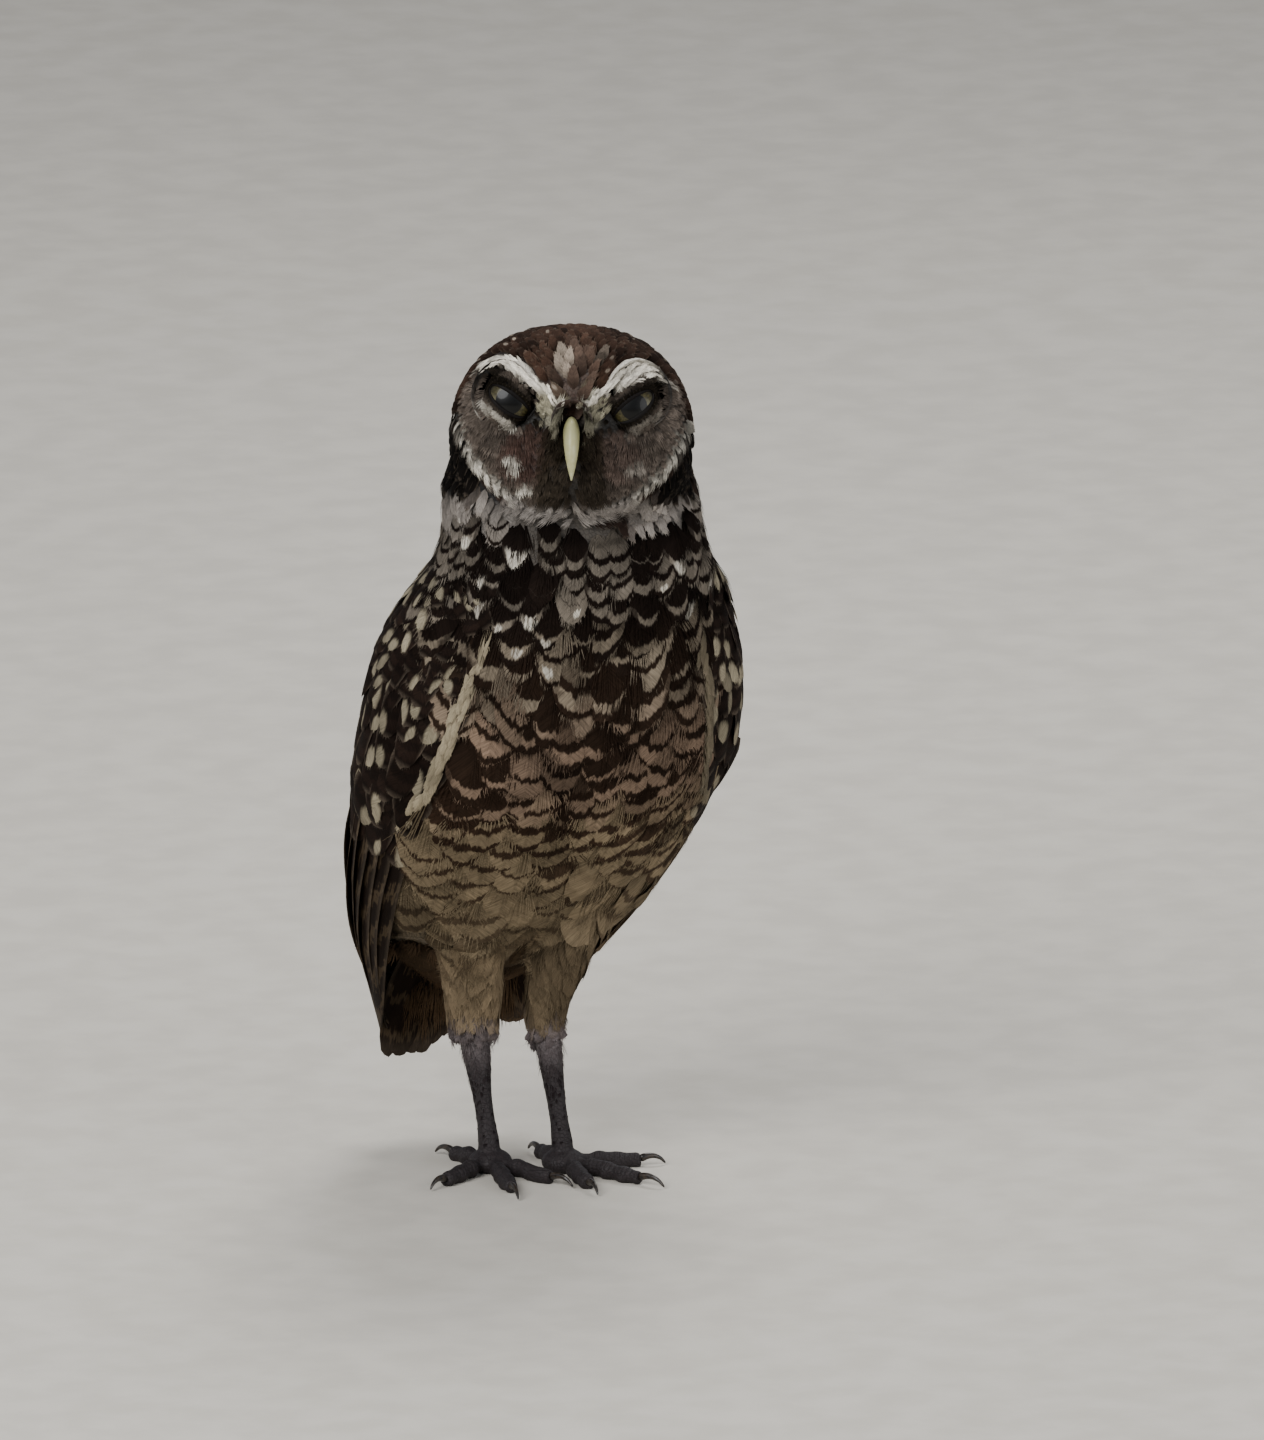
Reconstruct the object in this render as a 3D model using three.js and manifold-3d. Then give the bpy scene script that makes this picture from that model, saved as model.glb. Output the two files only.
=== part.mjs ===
// A burrowing owl standing upright at life size, with its head turned to its right.
// Millimetres, +Z up. The owl faces -Y and its left side is at +X. The floor is z = 0.
import * as THREE from "three";
import { mergeVertices } from "three/addons/utils/BufferGeometryUtils.js";
import Module from "manifold-3d";

const wasm = await Module();
wasm.setup();

// Driving dimensions
const GAP = 0.35; // clearance between neighbouring solids
const TRUNK_FLOOR = 45; // height of the vent, where the trunk closes
const NECK_FLOOR = 172; // height where the neck starts
const NECK_TOP = 208; // height where the nape ends against the head
const HEAD_AT = new THREE.Vector3(0, -31, 209.5); // middle of the head
const HEAD_YAW = -23; // degrees, the head turned to the owl's right
const HEAD_PITCH = -9; // degrees, the face raised
const HEAD_HALF_WIDTH = 32.8;
const HEAD_HALF_HEIGHT = 27;
const FACE_DEPTH = 26.5; // from the head's middle forward to the face
const JOWL = 1.2; // how much wider the head is below the cheeks
const NAPE_DEPTH = 29.5; // from the head's middle back to the nape
const EYE_AT = { x: 16.2, y: -15.5, z: 7.5 }; // the owl's left eye, in the head's frame
const EYE_RADIUS = 7.6;
const BEAK_LENGTH = 16;
const TAIL_HALF_WIDTH = 21;
const TAIL_TIP_HEIGHT = 22;
const TOE_RADIUS = 2.1;

// The whole coat at some heights, wings included:
// height, y of its middle, half width, depth in front, depth behind
const COAT = [
  [25, 45, 19, 5, 5],
  [34, 43, 22, 9, 9],
  [43, 38.5, 26.8, 14, 14],
  [57.5, 27, 34.4, 22, 20],
  [72.5, 16, 40.4, 28.5, 26],
  [87, 6, 44.8, 32.5, 30],
  [101, -4, 48, 34.5, 32.5],
  [116, -12.5, 50, 36, 35],
  [129, -17.5, 49.8, 36, 36],
  [142, -20, 48.4, 35, 36],
  [154, -22.8, 45.4, 32.5, 35],
  [164, -27, 42, 29.5, 34],
  [173, -30, 38.8, 27.5, 33],
  [181, -30.5, 36.6, 26, 32],
  [190, -30, 35.6, 24, 31],
  [206, -28, 34, 12, 27],
];

const rad = THREE.MathUtils.degToRad;
const ease = (low, high, t) => THREE.MathUtils.smoothstep(t, low, high);
const mix = THREE.MathUtils.lerp;

// The rows' values at a height, on a smooth curve through the rows
function between(rows, at) {
  const last = rows.length - 1;
  const height = THREE.MathUtils.clamp(at, rows[0][0], rows[last][0]);
  let i = 0;
  while (i < last - 1 && rows[i + 1][0] < height) i += 1;
  const span = rows[i + 1][0] - rows[i][0];
  const t = (height - rows[i][0]) / span;
  const slope = (k, c) => {
    const a = rows[Math.max(k - 1, 0)];
    const b = rows[Math.min(k + 1, last)];
    return ((b[c] - a[c]) / (b[0] - a[0])) * span;
  };
  return rows[i].slice(1).map((value, j) => {
    const c = j + 1;
    const next = rows[i + 1][c];
    const h = t * t * (3 - 2 * t);
    const leave = t * (1 - t) * (1 - t) * slope(i, c);
    const arrive = t * t * (t - 1) * slope(i + 1, c);
    return mix(value, next, h) + leave + arrive;
  });
}

// A point of a ring round the coat: angle 0 is the front and 90 degrees the owl's left side
function onCoat(height, angle, out = 0) {
  const [middle, halfWidth, front, back] = between(COAT, height);
  const s = Math.sin(angle);
  const c = Math.cos(angle);
  const squareness = 0.94;
  const depth = (c > 0 ? front : back) + out;
  return new THREE.Vector3(
    (halfWidth + out) * Math.sign(s) * Math.abs(s) ** squareness,
    middle - depth * Math.sign(c) * Math.abs(c) ** squareness,
    height,
  );
}

// A closed surface through rings of points, each ring with the same count, and a pole at either end
function loft(rings, start, end) {
  const count = rings[0].length;
  const points = [start, ...rings.flat(), end];
  const faces = [];
  const at = (ring, k) => 1 + ring * count + (k % count);
  for (let k = 0; k < count; k += 1) {
    faces.push(0, at(0, k + 1), at(0, k));
    faces.push(points.length - 1, at(rings.length - 1, k), at(rings.length - 1, k + 1));
    for (let ring = 0; ring + 1 < rings.length; ring += 1) {
      const corners = [at(ring, k), at(ring, k + 1), at(ring + 1, k + 1), at(ring + 1, k)];
      faces.push(corners[0], corners[1], corners[2], corners[0], corners[2], corners[3]);
    }
  }
  return closed(points, faces);
}

function closed(points, faces) {
  const geometry = new THREE.BufferGeometry().setFromPoints(points).setIndex(faces);
  const merged = mergeVertices(geometry, 1e-4);
  if (solid(merged).volume() >= 0) return merged;
  const turned = merged.index.array;
  for (let i = 0; i < turned.length; i += 3) {
    [turned[i + 1], turned[i + 2]] = [turned[i + 2], turned[i + 1]];
  }
  return merged;
}

function solid(geometry) {
  return new wasm.Manifold(
    new wasm.Mesh({
      numProp: 3,
      vertProperties: new Float32Array(geometry.attributes.position.array),
      triVerts: new Uint32Array(geometry.index.array),
    }),
  );
}

function geometryOf(manifold) {
  const mesh = manifold.getMesh();
  const geometry = new THREE.BufferGeometry();
  geometry.setAttribute("position", new THREE.BufferAttribute(mesh.vertProperties, 3));
  return geometry.setIndex(new THREE.BufferAttribute(mesh.triVerts, 1));
}

// The largest body left of the first geometry with the others taken out of it
function without(geometry, ...others) {
  let left = solid(geometry);
  for (const other of others) left = left.subtract(solid(other));
  const [largest] = left.decompose().sort((a, b) => b.volume() - a.volume());
  return geometryOf(largest);
}

const steps = (count, make) => Array.from({ length: count }, (_, i) => make(i / (count - 1), i));
const around = (count, make) => Array.from({ length: count }, (_, i) => make((i / count) * 2 * Math.PI));

// Rings square to a curve, each an ellipse of half width and half height given by size(t)
function sweep(curve, size, { rings, sides, side = new THREE.Vector3(1, 0, 0), floor = -Infinity }) {
  const made = steps(rings, (t) => {
    const along = curve.getTangentAt(t).normalize();
    const across = side.clone().addScaledVector(along, -side.dot(along)).normalize();
    const up = new THREE.Vector3().crossVectors(across, along);
    const [halfWidth, halfHeight] = size(t);
    return around(sides, (a) => {
      const p = curve.getPointAt(t);
      p.addScaledVector(across, halfWidth * Math.cos(a));
      p.addScaledVector(up, halfHeight * Math.sin(a));
      p.z = Math.max(p.z, floor);
      return p;
    });
  });
  const middle = (ring) => ring.reduce((sum, p) => sum.add(p), new THREE.Vector3()).divideScalar(sides);
  return loft(made, middle(made[0]), middle(made[rings - 1]));
}

// Where a folded wing lies on the coat. side is 1 on the owl's left and -1 on its right.
const WING = {
  top: 173, // height of the shoulder
  tip: 28, // height of the primaries' tips
  covertEnd: 103, // height where the coverts' mass ends over the flight feathers
  rounding: 16, // height over which the coverts' lower corners are rounded
  front: [
    [28, 96],
    [42, 72],
    [60, 62],
    [97, 57],
    [128, 50],
    [150, 49],
    [162, 60],
    [173, 80],
  ], // height, angle of the leading edge in degrees
  back: [
    [28, 128],
    [60, 158],
    [100, 166],
    [145, 160],
    [173, 124],
  ], // height, angle of the dorsal edge in degrees
  sunk: 3.2, // how far the wing is let into the flank
  proud: 2.2, // how far the coverts stand out from the breast
};
const wingFront = (height) => rad(between(WING.front, height)[0]);
const wingBack = (height) => rad(between(WING.back, height)[0]);

function trunkSurface(extra) {
  const rings = steps(16, (t) => {
    const height = mix(TRUNK_FLOOR, NECK_FLOOR - GAP, t) + extra * (2 * t - 1);
    const [middle] = between(COAT, height);
    const open = ease(TRUNK_FLOOR - 1, TRUNK_FLOOR + 24, height);
    return around(26, (angle) => {
      const p = onCoat(height, angle, extra);
      const width = mix(0.4, 1, Math.sqrt(open));
      const depth = mix(0.6, 1, Math.sqrt(open));
      return new THREE.Vector3(p.x * width, middle + (p.y - middle) * depth, height);
    });
  });
  const end = (ring) => {
    const [middle] = between(COAT, ring[0].z);
    return new THREE.Vector3(0, middle, ring[0].z);
  };
  return loft(rings, end(rings[0]), end(rings[rings.length - 1]));
}

// One layer of a wing: a curved plate between two heights, thick in its middle and thin at its rim.
// A grown plate is larger all round by the given clearance.
function wingLayer(side, [low, high], edges, depths, [rows, columns], grown) {
  const outer = [];
  const inner = [];
  for (let i = 0; i <= rows; i += 1) {
    const along = i / rows;
    const level = mix(low, high, along);
    const height = level + grown * (2 * along - 1);
    const [front, back] = edges(level);
    for (let j = 0; j <= columns; j += 1) {
      const t = j / columns;
      const reach = grown / between(COAT, level)[1];
      const angle = side * mix(front - reach, back + reach, t);
      const rim = Math.sqrt(Math.min(1, 4 * Math.min(t, 1 - t), 5 * Math.min(along, 1 - along)));
      const [proud, sunk] = depths(level, t, rim);
      outer.push(onCoat(height, angle, proud + grown));
      inner.push(onCoat(height, angle, -sunk - grown));
    }
  }
  const across = columns + 1;
  const total = outer.length;
  const faces = [];
  const quad = (a, b, c, d) => faces.push(a, b, c, a, c, d);
  for (let i = 0; i < rows; i += 1) {
    for (let j = 0; j < columns; j += 1) {
      const k = i * across + j;
      quad(k, k + 1, k + across + 1, k + across);
      quad(total + k + across, total + k + across + 1, total + k + 1, total + k);
    }
  }
  const rimOf = [];
  for (let j = 0; j < columns; j += 1) rimOf.push(j);
  for (let i = 0; i < rows; i += 1) rimOf.push(i * across + columns);
  for (let j = columns; j > 0; j -= 1) rimOf.push(rows * across + j);
  for (let i = rows; i > 0; i -= 1) rimOf.push(i * across);
  rimOf.forEach((k, n) => {
    const next = rimOf[(n + 1) % rimOf.length];
    quad(next, k, total + k, total + next);
  });
  return closed([...outer, ...inner], faces);
}

const RIM = 0.8; // depth of a wing's rim in the flank, twice its height over it

function covertLayer(side, grown = 0) {
  const edges = (height) => {
    const below = Math.max(0, 1 - (height - WING.covertEnd) / WING.rounding);
    const round = Math.sqrt(1 - below ** 2);
    const [front, back] = [wingFront(height), wingBack(height)];
    return [mix(front + rad(26), front, round), mix(back - rad(20), back, round)];
  };
  const depths = (height, t, rim) => {
    const bulge = WING.proud * (1 - 0.75 * ease(0.45, 1, t));
    return [RIM / 2 + bulge * rim, Math.max(WING.sunk * rim, RIM)];
  };
  return wingLayer(side, [WING.covertEnd, WING.top], edges, depths, [10, 8], grown);
}

function flightLayer(side, grown = 0) {
  const edges = (height) => [wingFront(height) + rad(2), wingBack(height)];
  const depths = (height, t, rim) => {
    const free = 1 - ease(TRUNK_FLOOR + 2, TRUNK_FLOOR + 24, height);
    const sunk = mix(WING.sunk, 2.2, free) * rim;
    return [RIM / 2 + 0.5 * rim, Math.max(sunk, RIM)];
  };
  return wingLayer(side, [WING.tip, WING.covertEnd - GAP], edges, depths, [8, 6], grown);
}

function tailFan(extra = 0) {
  const curve = new THREE.CatmullRomCurve3([
    new THREE.Vector3(0, 36, 66),
    new THREE.Vector3(0, 43, 50),
    new THREE.Vector3(0, 46.5, 36),
    new THREE.Vector3(0, 48.5, TAIL_TIP_HEIGHT),
  ]);
  const size = (t) => {
    const spread = mix(0.62, 1, ease(0, 0.7, t)) * Math.sqrt(1 - 0.75 * ease(0.86, 1.06, t));
    return [TAIL_HALF_WIDTH * spread + extra, mix(4.2, 1.7, ease(0.1, 1, t)) + extra];
  };
  return sweep(curve, size, { rings: 8, sides: 14 });
}

// Swellings and hollows of the face: place and reach in its plane, and how far each comes forward
const FACE_FORMS = [
  { name: "eye hollow", x: 16.2, z: 7.2, wide: 8.6, high: 7.6, out: -5 },
  { name: "inner brow", x: 8, z: 14, wide: 5.5, high: 4.5, out: 3 },
  { name: "outer brow", x: 18.5, z: 18.5, wide: 8, high: 3.6, out: 3.6 },
  { name: "beak ridge", x: 0, z: 6, wide: 4.2, high: 11, out: 1.6 },
  { name: "cheek hollow", x: 17, z: -6, wide: 9, high: 6, out: -1.6 },
  { name: "disc rim", x: 27, z: -8, wide: 4.5, high: 14, out: 2 },
  { name: "chin", x: 0, z: -17, wide: 11, high: 6, out: 1.4 },
];

function faceRelief(x, z) {
  let out = 0;
  for (const form of FACE_FORMS) {
    for (const at of form.x ? [-form.x, form.x] : [0]) {
      const u = (x - at) / form.wide;
      const w = (z - form.z) / form.high;
      out += form.out * Math.exp(-u * u - w * w);
    }
  }
  return out;
}

function headForm(extra = 0) {
  const towardsFace = 0.34; // draws the meridians together at the face
  const rings = steps(17, (t) => {
    const up = rad(mix(-84, 86, t));
    const level = Math.cos(up) ** mix(0.5, 0.9, ease(-0.5, 0.1, up)); // full cheeks, a round crown
    return around(28, (turn) => {
      const angle = turn - towardsFace * Math.sin(turn);
      const s = Math.sin(angle) * level;
      const c = Math.cos(angle) * level;
      const x = (HEAD_HALF_WIDTH + JOWL * (1 - ease(-0.6, 0.1, up)) + extra) * s;
      const z = (HEAD_HALF_HEIGHT + extra) * Math.sin(up);
      if (c <= 0) return new THREE.Vector3(x, -(NAPE_DEPTH + extra) * c, z);
      const face = (FACE_DEPTH + extra) * c ** 0.8;
      return new THREE.Vector3(x, -face - faceRelief(x, z) * ease(0.15, 0.5, c), z);
    });
  });
  const pole = (sign) => new THREE.Vector3(0, 0, sign * (HEAD_HALF_HEIGHT + extra));
  return loft(rings, pole(-1), pole(1));
}

function eyeball(side, extra = 0) {
  const ball = new THREE.SphereGeometry(EYE_RADIUS + extra, 14, 9);
  ball.deleteAttribute("normal");
  ball.deleteAttribute("uv");
  ball.rotateX(Math.PI / 2);
  ball.translate(side * EYE_AT.x, EYE_AT.y, EYE_AT.z);
  return mergeVertices(ball, 1e-4);
}

function upperBeak(extra = 0) {
  const curve = new THREE.CatmullRomCurve3([
    new THREE.Vector3(0, -22, 2),
    new THREE.Vector3(0, -27, 2),
    new THREE.Vector3(0, -31, -1),
    new THREE.Vector3(0, -32.4, -6.5),
    new THREE.Vector3(0, -30.8, 3 - BEAK_LENGTH),
  ]);
  const size = (t) => {
    const taper = 1 - ease(0.35, 1.02, t);
    return [mix(0.6, 3, taper) + extra, mix(0.5, 3.2, taper) + extra];
  };
  return sweep(curve, size, { rings: 8, sides: 9 });
}

function lowerBeak(extra = 0) {
  const curve = new THREE.CatmullRomCurve3([
    new THREE.Vector3(0, -21, -4.5),
    new THREE.Vector3(0, -26, -6.4),
    new THREE.Vector3(0, -28.8, -9.6),
  ]);
  const size = (t) => [mix(2.7, 1.2, t) + extra, mix(2.2, 1, t) + extra];
  return sweep(curve, size, { rings: 6, sides: 10 });
}

function neckForm() {
  const floor = NECK_FLOOR;
  const rings = steps(7, (t) => {
    const height = mix(floor, NECK_TOP, t);
    const crown = Math.sqrt(1 - 0.8 * ease(0.7, 1.02, t));
    return around(26, (angle) => {
      const [middle] = between(COAT, height);
      const p = onCoat(height, angle);
      return new THREE.Vector3(p.x * crown, middle + (p.y - middle) * crown, height);
    });
  });
  const [low] = between(COAT, floor);
  const [high] = between(COAT, NECK_TOP);
  return loft(rings, new THREE.Vector3(0, low, floor), new THREE.Vector3(0, high, NECK_TOP));
}

// Legs: where each foot and heel stands
const FOOT = { left: [9.2, -3.6], right: [-8.6, 3.8] };
const FEET_TURN = 10; // degrees, both feet turned to the owl's left
const HEEL_BACK = 9.6; // how far the heel stands behind the foot
const HEEL_SHIFT = -1.1; // how far the heels stand to the owl's right of the feet
const HEEL_HEIGHT = 42;
const TROUSER_END = 34; // height where the leg's long feathers end

function tarsus([x, y]) {
  const curve = new THREE.CatmullRomCurve3([
    new THREE.Vector3(x, y + 0.3, 3),
    new THREE.Vector3(x, y + 1.2, 8),
    new THREE.Vector3(x + HEEL_SHIFT / 2, y + 4.4, 20),
    new THREE.Vector3(x + HEEL_SHIFT, y + 8.6, TROUSER_END + 2),
  ]);
  const size = (t) => {
    const r = 2.3 + 0.7 * (1 - ease(0, 0.25, t)) + 2.3 * ease(0.3, 1, t);
    return [r, r * 1.1];
  };
  return sweep(curve, size, { rings: 8, sides: 9 });
}

function trouser(side, [x, y], grown = 0) {
  const curve = new THREE.CatmullRomCurve3([
    new THREE.Vector3(x + HEEL_SHIFT, y + 8.2, TROUSER_END),
    new THREE.Vector3(x + HEEL_SHIFT, y + HEEL_BACK, HEEL_HEIGHT),
    new THREE.Vector3(side * 11, mix(y, 0, 0.3) + 8, 56),
    new THREE.Vector3(side * 14, 7, 70),
    new THREE.Vector3(side * 16, 5, 80),
  ]);
  const size = (t) => {
    const thick = ease(0.05, 0.9, t);
    return [mix(4.9, 12.5, thick) + grown, mix(5.6, 13, thick) + grown];
  };
  return sweep(curve, size, { rings: 8, sides: 14 });
}

// Toes: angle outwards from straight ahead in degrees, length without the claw, claw length
const TOES = [
  { name: "inner", turn: -15, length: 17, claw: 8.5 },
  { name: "middle", turn: 20, length: 20.5, claw: 9 },
  { name: "outer", turn: 68, length: 16, claw: 7.5 },
  { name: "hind", turn: 172, length: 10.5, claw: 8 },
];
const TOE_ROOT = 4.2; // distance of a toe's root from the middle of the foot
const FOOT_RADIUS = 5.8;
const FOOT_HEIGHT = 5.6;

function toeFrame(side, [x, y], turn) {
  const heading = rad(turn * side + FEET_TURN);
  const ahead = new THREE.Vector3(Math.sin(heading), -Math.cos(heading), 0);
  const at = (far, height) => new THREE.Vector3(x, y, height).addScaledVector(ahead, far);
  return { at, across: new THREE.Vector3(-ahead.y, ahead.x, 0) };
}

// The ball of the foot, flat underneath
function footBall([x, y], grown = 0) {
  const ball = new THREE.SphereGeometry(1, 12, 8);
  ball.deleteAttribute("normal");
  ball.deleteAttribute("uv");
  ball.rotateX(Math.PI / 2);
  ball.scale(FOOT_RADIUS + grown, FOOT_RADIUS + grown, FOOT_HEIGHT / 2 + 0.5 + grown);
  ball.translate(x, y, FOOT_HEIGHT / 2 - 0.5);
  const points = ball.attributes.position;
  for (let i = 0; i < points.count; i += 1) points.setZ(i, Math.max(points.getZ(i), -grown));
  return mergeVertices(ball, 1e-4);
}

function toe(side, foot, { turn, length }) {
  const { at, across } = toeFrame(side, foot, turn);
  const far = TOE_ROOT + length;
  const curve = new THREE.CatmullRomCurve3([
    at(TOE_ROOT, 2.6),
    at(mix(TOE_ROOT, far, 0.4), 2.3),
    at(mix(TOE_ROOT, far, 0.8), 1.7),
    at(far, 1.8),
  ]);
  const size = (t) => {
    const root = mix(0.66, 1, ease(0, 0.4, t));
    const pads = 1 + 0.09 * Math.cos(t * Math.PI * 5);
    const r = TOE_RADIUS * root * pads * mix(1, 0.82, ease(0.7, 1, t));
    return [r, r * 1.05];
  };
  return sweep(curve, size, { rings: 7, sides: 7, side: across, floor: 0 });
}

function claw(side, foot, { turn, length, claw: reach }) {
  const { at, across } = toeFrame(side, foot, turn);
  const start = TOE_ROOT + length + GAP;
  const curve = new THREE.CatmullRomCurve3([
    at(start, 2.1),
    at(start + reach * 0.35, 2.9),
    at(start + reach * 0.72, 2.1),
    at(start + reach * 0.9, 0.6),
  ]);
  const size = (t) => [mix(1.15, 0.32, t), mix(1.3, 0.32, t)];
  return sweep(curve, size, { rings: 5, sides: 6, side: across, floor: 0.15 });
}

const FINISH = {
  crown: { color: 0x4a382b, roughness: 0.9 },
  breast: { color: 0x8a7663, roughness: 0.92 },
  wing: { color: 0x463529, roughness: 0.85 },
  tail: { color: 0x3f3026, roughness: 0.85 },
  trouser: { color: 0xb49a76, roughness: 0.92 },
  leg: { color: 0x7d7066, roughness: 0.8 },
  claw: { color: 0x1e1a18, roughness: 0.35 },
  beak: { color: 0x9c9b72, roughness: 0.4 },
  eye: { color: 0x2c2716, roughness: 0.08 },
};

function mesh(name, geometry, finish) {
  const made = new THREE.Mesh(geometry, new THREE.MeshStandardMaterial({ metalness: 0, ...FINISH[finish] }));
  made.name = name;
  return made;
}

const headPose = new THREE.Matrix4().makeRotationFromEuler(
  new THREE.Euler(rad(HEAD_PITCH), 0, rad(HEAD_YAW), "ZXY"),
);
headPose.setPosition(HEAD_AT);
const posed = (geometry) => geometry.clone().applyMatrix4(headPose);

function headMeshes() {
  const eyes = [-1, 1].map((side) => eyeball(side, GAP));
  const skull = without(headForm(), ...eyes, upperBeak(GAP), lowerBeak(GAP));
  const lower = without(lowerBeak(), upperBeak(GAP));
  return [
    mesh("head", posed(skull), "crown"),
    mesh("eye_left", posed(eyeball(1)), "eye"),
    mesh("eye_right", posed(eyeball(-1)), "eye"),
    mesh("beak_upper", posed(upperBeak()), "beak"),
    mesh("beak_lower", posed(lower), "beak"),
  ];
}

const grownWings = [1, -1].flatMap((side) => [covertLayer(side, GAP), flightLayer(side, GAP)]);

function bodyMeshes() {
  const wings = [1, -1].flatMap((side) => {
    const name = side > 0 ? "left" : "right";
    return [
      mesh(`wing_coverts_${name}`, covertLayer(side), "wing"),
      mesh(`wing_flight_${name}`, flightLayer(side), "wing"),
    ];
  });
  return [
    mesh("trunk", without(trunkSurface(0), ...grownWings), "breast"),
    mesh("neck", without(neckForm(), posed(headForm(GAP)), ...grownWings), "breast"),
    mesh("tail", without(tailFan(), trunkSurface(GAP), ...grownWings), "tail"),
    ...wings,
  ];
}

function legMeshes(name) {
  const side = name === "left" ? 1 : -1;
  const foot = FOOT[name];
  const thigh = without(trouser(side, foot), trunkSurface(GAP), tailFan(GAP), ...grownWings);
  const meshes = [
    mesh(`thigh_${name}`, thigh, "trouser"),
    mesh(`tarsus_${name}`, without(tarsus(foot), footBall(foot, GAP), trouser(side, foot, GAP)), "leg"),
    mesh(`foot_${name}`, footBall(foot), "leg"),
  ];
  for (const part of TOES) {
    const free = without(toe(side, foot, part), footBall(foot, GAP));
    meshes.push(mesh(`toe_${name}_${part.name}`, free, "leg"));
    meshes.push(mesh(`claw_${name}_${part.name}`, claw(side, foot, part), "claw"));
  }
  return meshes;
}

const owl = new THREE.Group();
owl.add(...headMeshes(), ...bodyMeshes(), ...legMeshes("left"), ...legMeshes("right"));
const box = new THREE.Box3().setFromObject(owl, true);
const middle = box.getCenter(new THREE.Vector3());
owl.position.set(-middle.x, -middle.y, -box.min.z);

export default owl;
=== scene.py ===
import math
import bmesh
import bpy
import numpy as np
from mathutils import Matrix, Vector
from mathutils.bvhtree import BVHTree


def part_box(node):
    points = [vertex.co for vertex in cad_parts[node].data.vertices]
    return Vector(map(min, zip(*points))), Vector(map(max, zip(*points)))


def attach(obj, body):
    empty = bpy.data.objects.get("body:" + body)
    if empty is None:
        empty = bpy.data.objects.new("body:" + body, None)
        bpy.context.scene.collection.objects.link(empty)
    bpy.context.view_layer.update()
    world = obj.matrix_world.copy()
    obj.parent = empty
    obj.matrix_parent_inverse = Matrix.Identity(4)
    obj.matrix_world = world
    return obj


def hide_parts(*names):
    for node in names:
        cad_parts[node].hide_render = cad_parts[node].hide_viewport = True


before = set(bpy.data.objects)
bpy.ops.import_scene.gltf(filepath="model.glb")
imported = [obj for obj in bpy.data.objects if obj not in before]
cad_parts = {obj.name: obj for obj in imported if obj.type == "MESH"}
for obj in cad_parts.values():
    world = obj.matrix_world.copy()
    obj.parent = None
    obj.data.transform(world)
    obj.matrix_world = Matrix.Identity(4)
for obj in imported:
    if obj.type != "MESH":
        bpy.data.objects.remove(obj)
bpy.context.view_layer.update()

# The owl's front is -Y and its left side +X. Sizes below are in millimetres, meshes in metres.
MM = 0.001
RNG = np.random.default_rng(11)

# Sizes
CAMERA_TURN = -23.0  # degrees round the owl, from its front towards its right
CAMERA_RISE = 14.0  # degrees above the horizon
HEAD_YAW = -23.0
HEAD_PITCH = -9.0
EYE_IN_HEAD = (0.0, -15.5, 7.5)  # middle of both eyes in the head's own frame
EYE_ACROSS = 16.0
EYE_HEIGHT = 6.2
LID_SLANT = 36.0  # degrees the eye's long axis falls towards the bill
FACE_TILT = 0.045  # how much lower the face's lines are on the owl's left, for each millimetre across
SKIN_DEPTH = {"body": 3.0, "head": 1.9, "face": 1.3, "thigh": 2.0}
UNDER_ROOTS = 0.9  # least depth of the skin under the feathers' roots

# y of the body's middle at some heights
BODY_AXIS = [(25, 51.4), (43, 45), (57, 33.5), (72, 22.5), (87, 12.5), (101, 2.5), (116, -6), (129, -11),
             (142, -13.5), (154, -16.4), (164, -20.5), (173, -23.5), (190, -23.5), (206, -21.5)]
# the folded wing's leading and dorsal edges: height, degrees round from the front
WING_FRONT = [(28, 96), (42, 72), (60, 62), (97, 57), (128, 50), (150, 49), (162, 60), (173, 80)]
WING_FRONT_RIGHT = [(28, 96), (42, 78), (60, 71), (75, 66), (100, 63), (109, 65), (116, 61.5),
                    (123, 60), (133, 57.5), (142, 55), (156, 53), (165, 57), (173, 78)]
WING_BACK = [(28, 128), (60, 158), (100, 166), (145, 160), (173, 124)]


def linear(code):
    """The linear colour of a written one such as 0x4a382b."""
    parts = np.array([(code >> 16) & 255, (code >> 8) & 255, code & 255]) / 255.0
    return np.where(parts <= 0.04045, parts / 12.92, ((parts + 0.055) / 1.055) ** 2.4)


COLOURS = {name: linear(code) for name, code in {
    "crown": 0x382921, "crown_spot": 0x84796C, "brow": 0xE2DBCC, "lore": 0x8F8A76, "face": 0x4F4740,
    # bristle is the dark of the bill's bristles, deepened as painted shade under the bill and brows
    "cheek": 0x46352F, "bristle_and_shade": 0x211C15, "collar_black": 0x0A0807, "throat": 0x76706A,
    "chest_pale": 0x615A51, "chest_dark": 0x17110E, "breast_pale": 0x6E6456, "breast_dark": 0x211812,
    # vent is the undertail's buff darkened to a dark brown, painted shade between the legs
    "belly_pale": 0x70634F, "belly_dark": 0x2C2018, "breast_warm": 0x6B5A4C, "vent": 0x463728,
    "thigh": 0x6D5F4B, "back": 0x30241C, "back_spot": 0x81755F, "wing": 0x1D1511, "wing_dark": 0x0F0B09,
    "wing_spot": 0x7E7664, "wing_edge": 0x877D68, "quill": 0x1A130F, "tail": 0x1D1510,
    # leg_low is the shanks' grey darkened towards the feet, painted shadow under the body
    "tail_bar": 0x42372A, "leg": 0x605858, "leg_low": 0x221C1D, "claw": 0x0F0C0B,
}.items()}


def ramp(x, low, high):
    t = np.clip((np.asarray(x, float) - low) / (high - low), 0.0, 1.0)
    return t * t * (3 - 2 * t)


def along(table, x):
    at = np.array(table, float)
    return np.interp(x, at[:, 0], at[:, 1])


def unit(v):
    return v / np.maximum(np.linalg.norm(v, axis=-1, keepdims=True), 1e-12)


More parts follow.
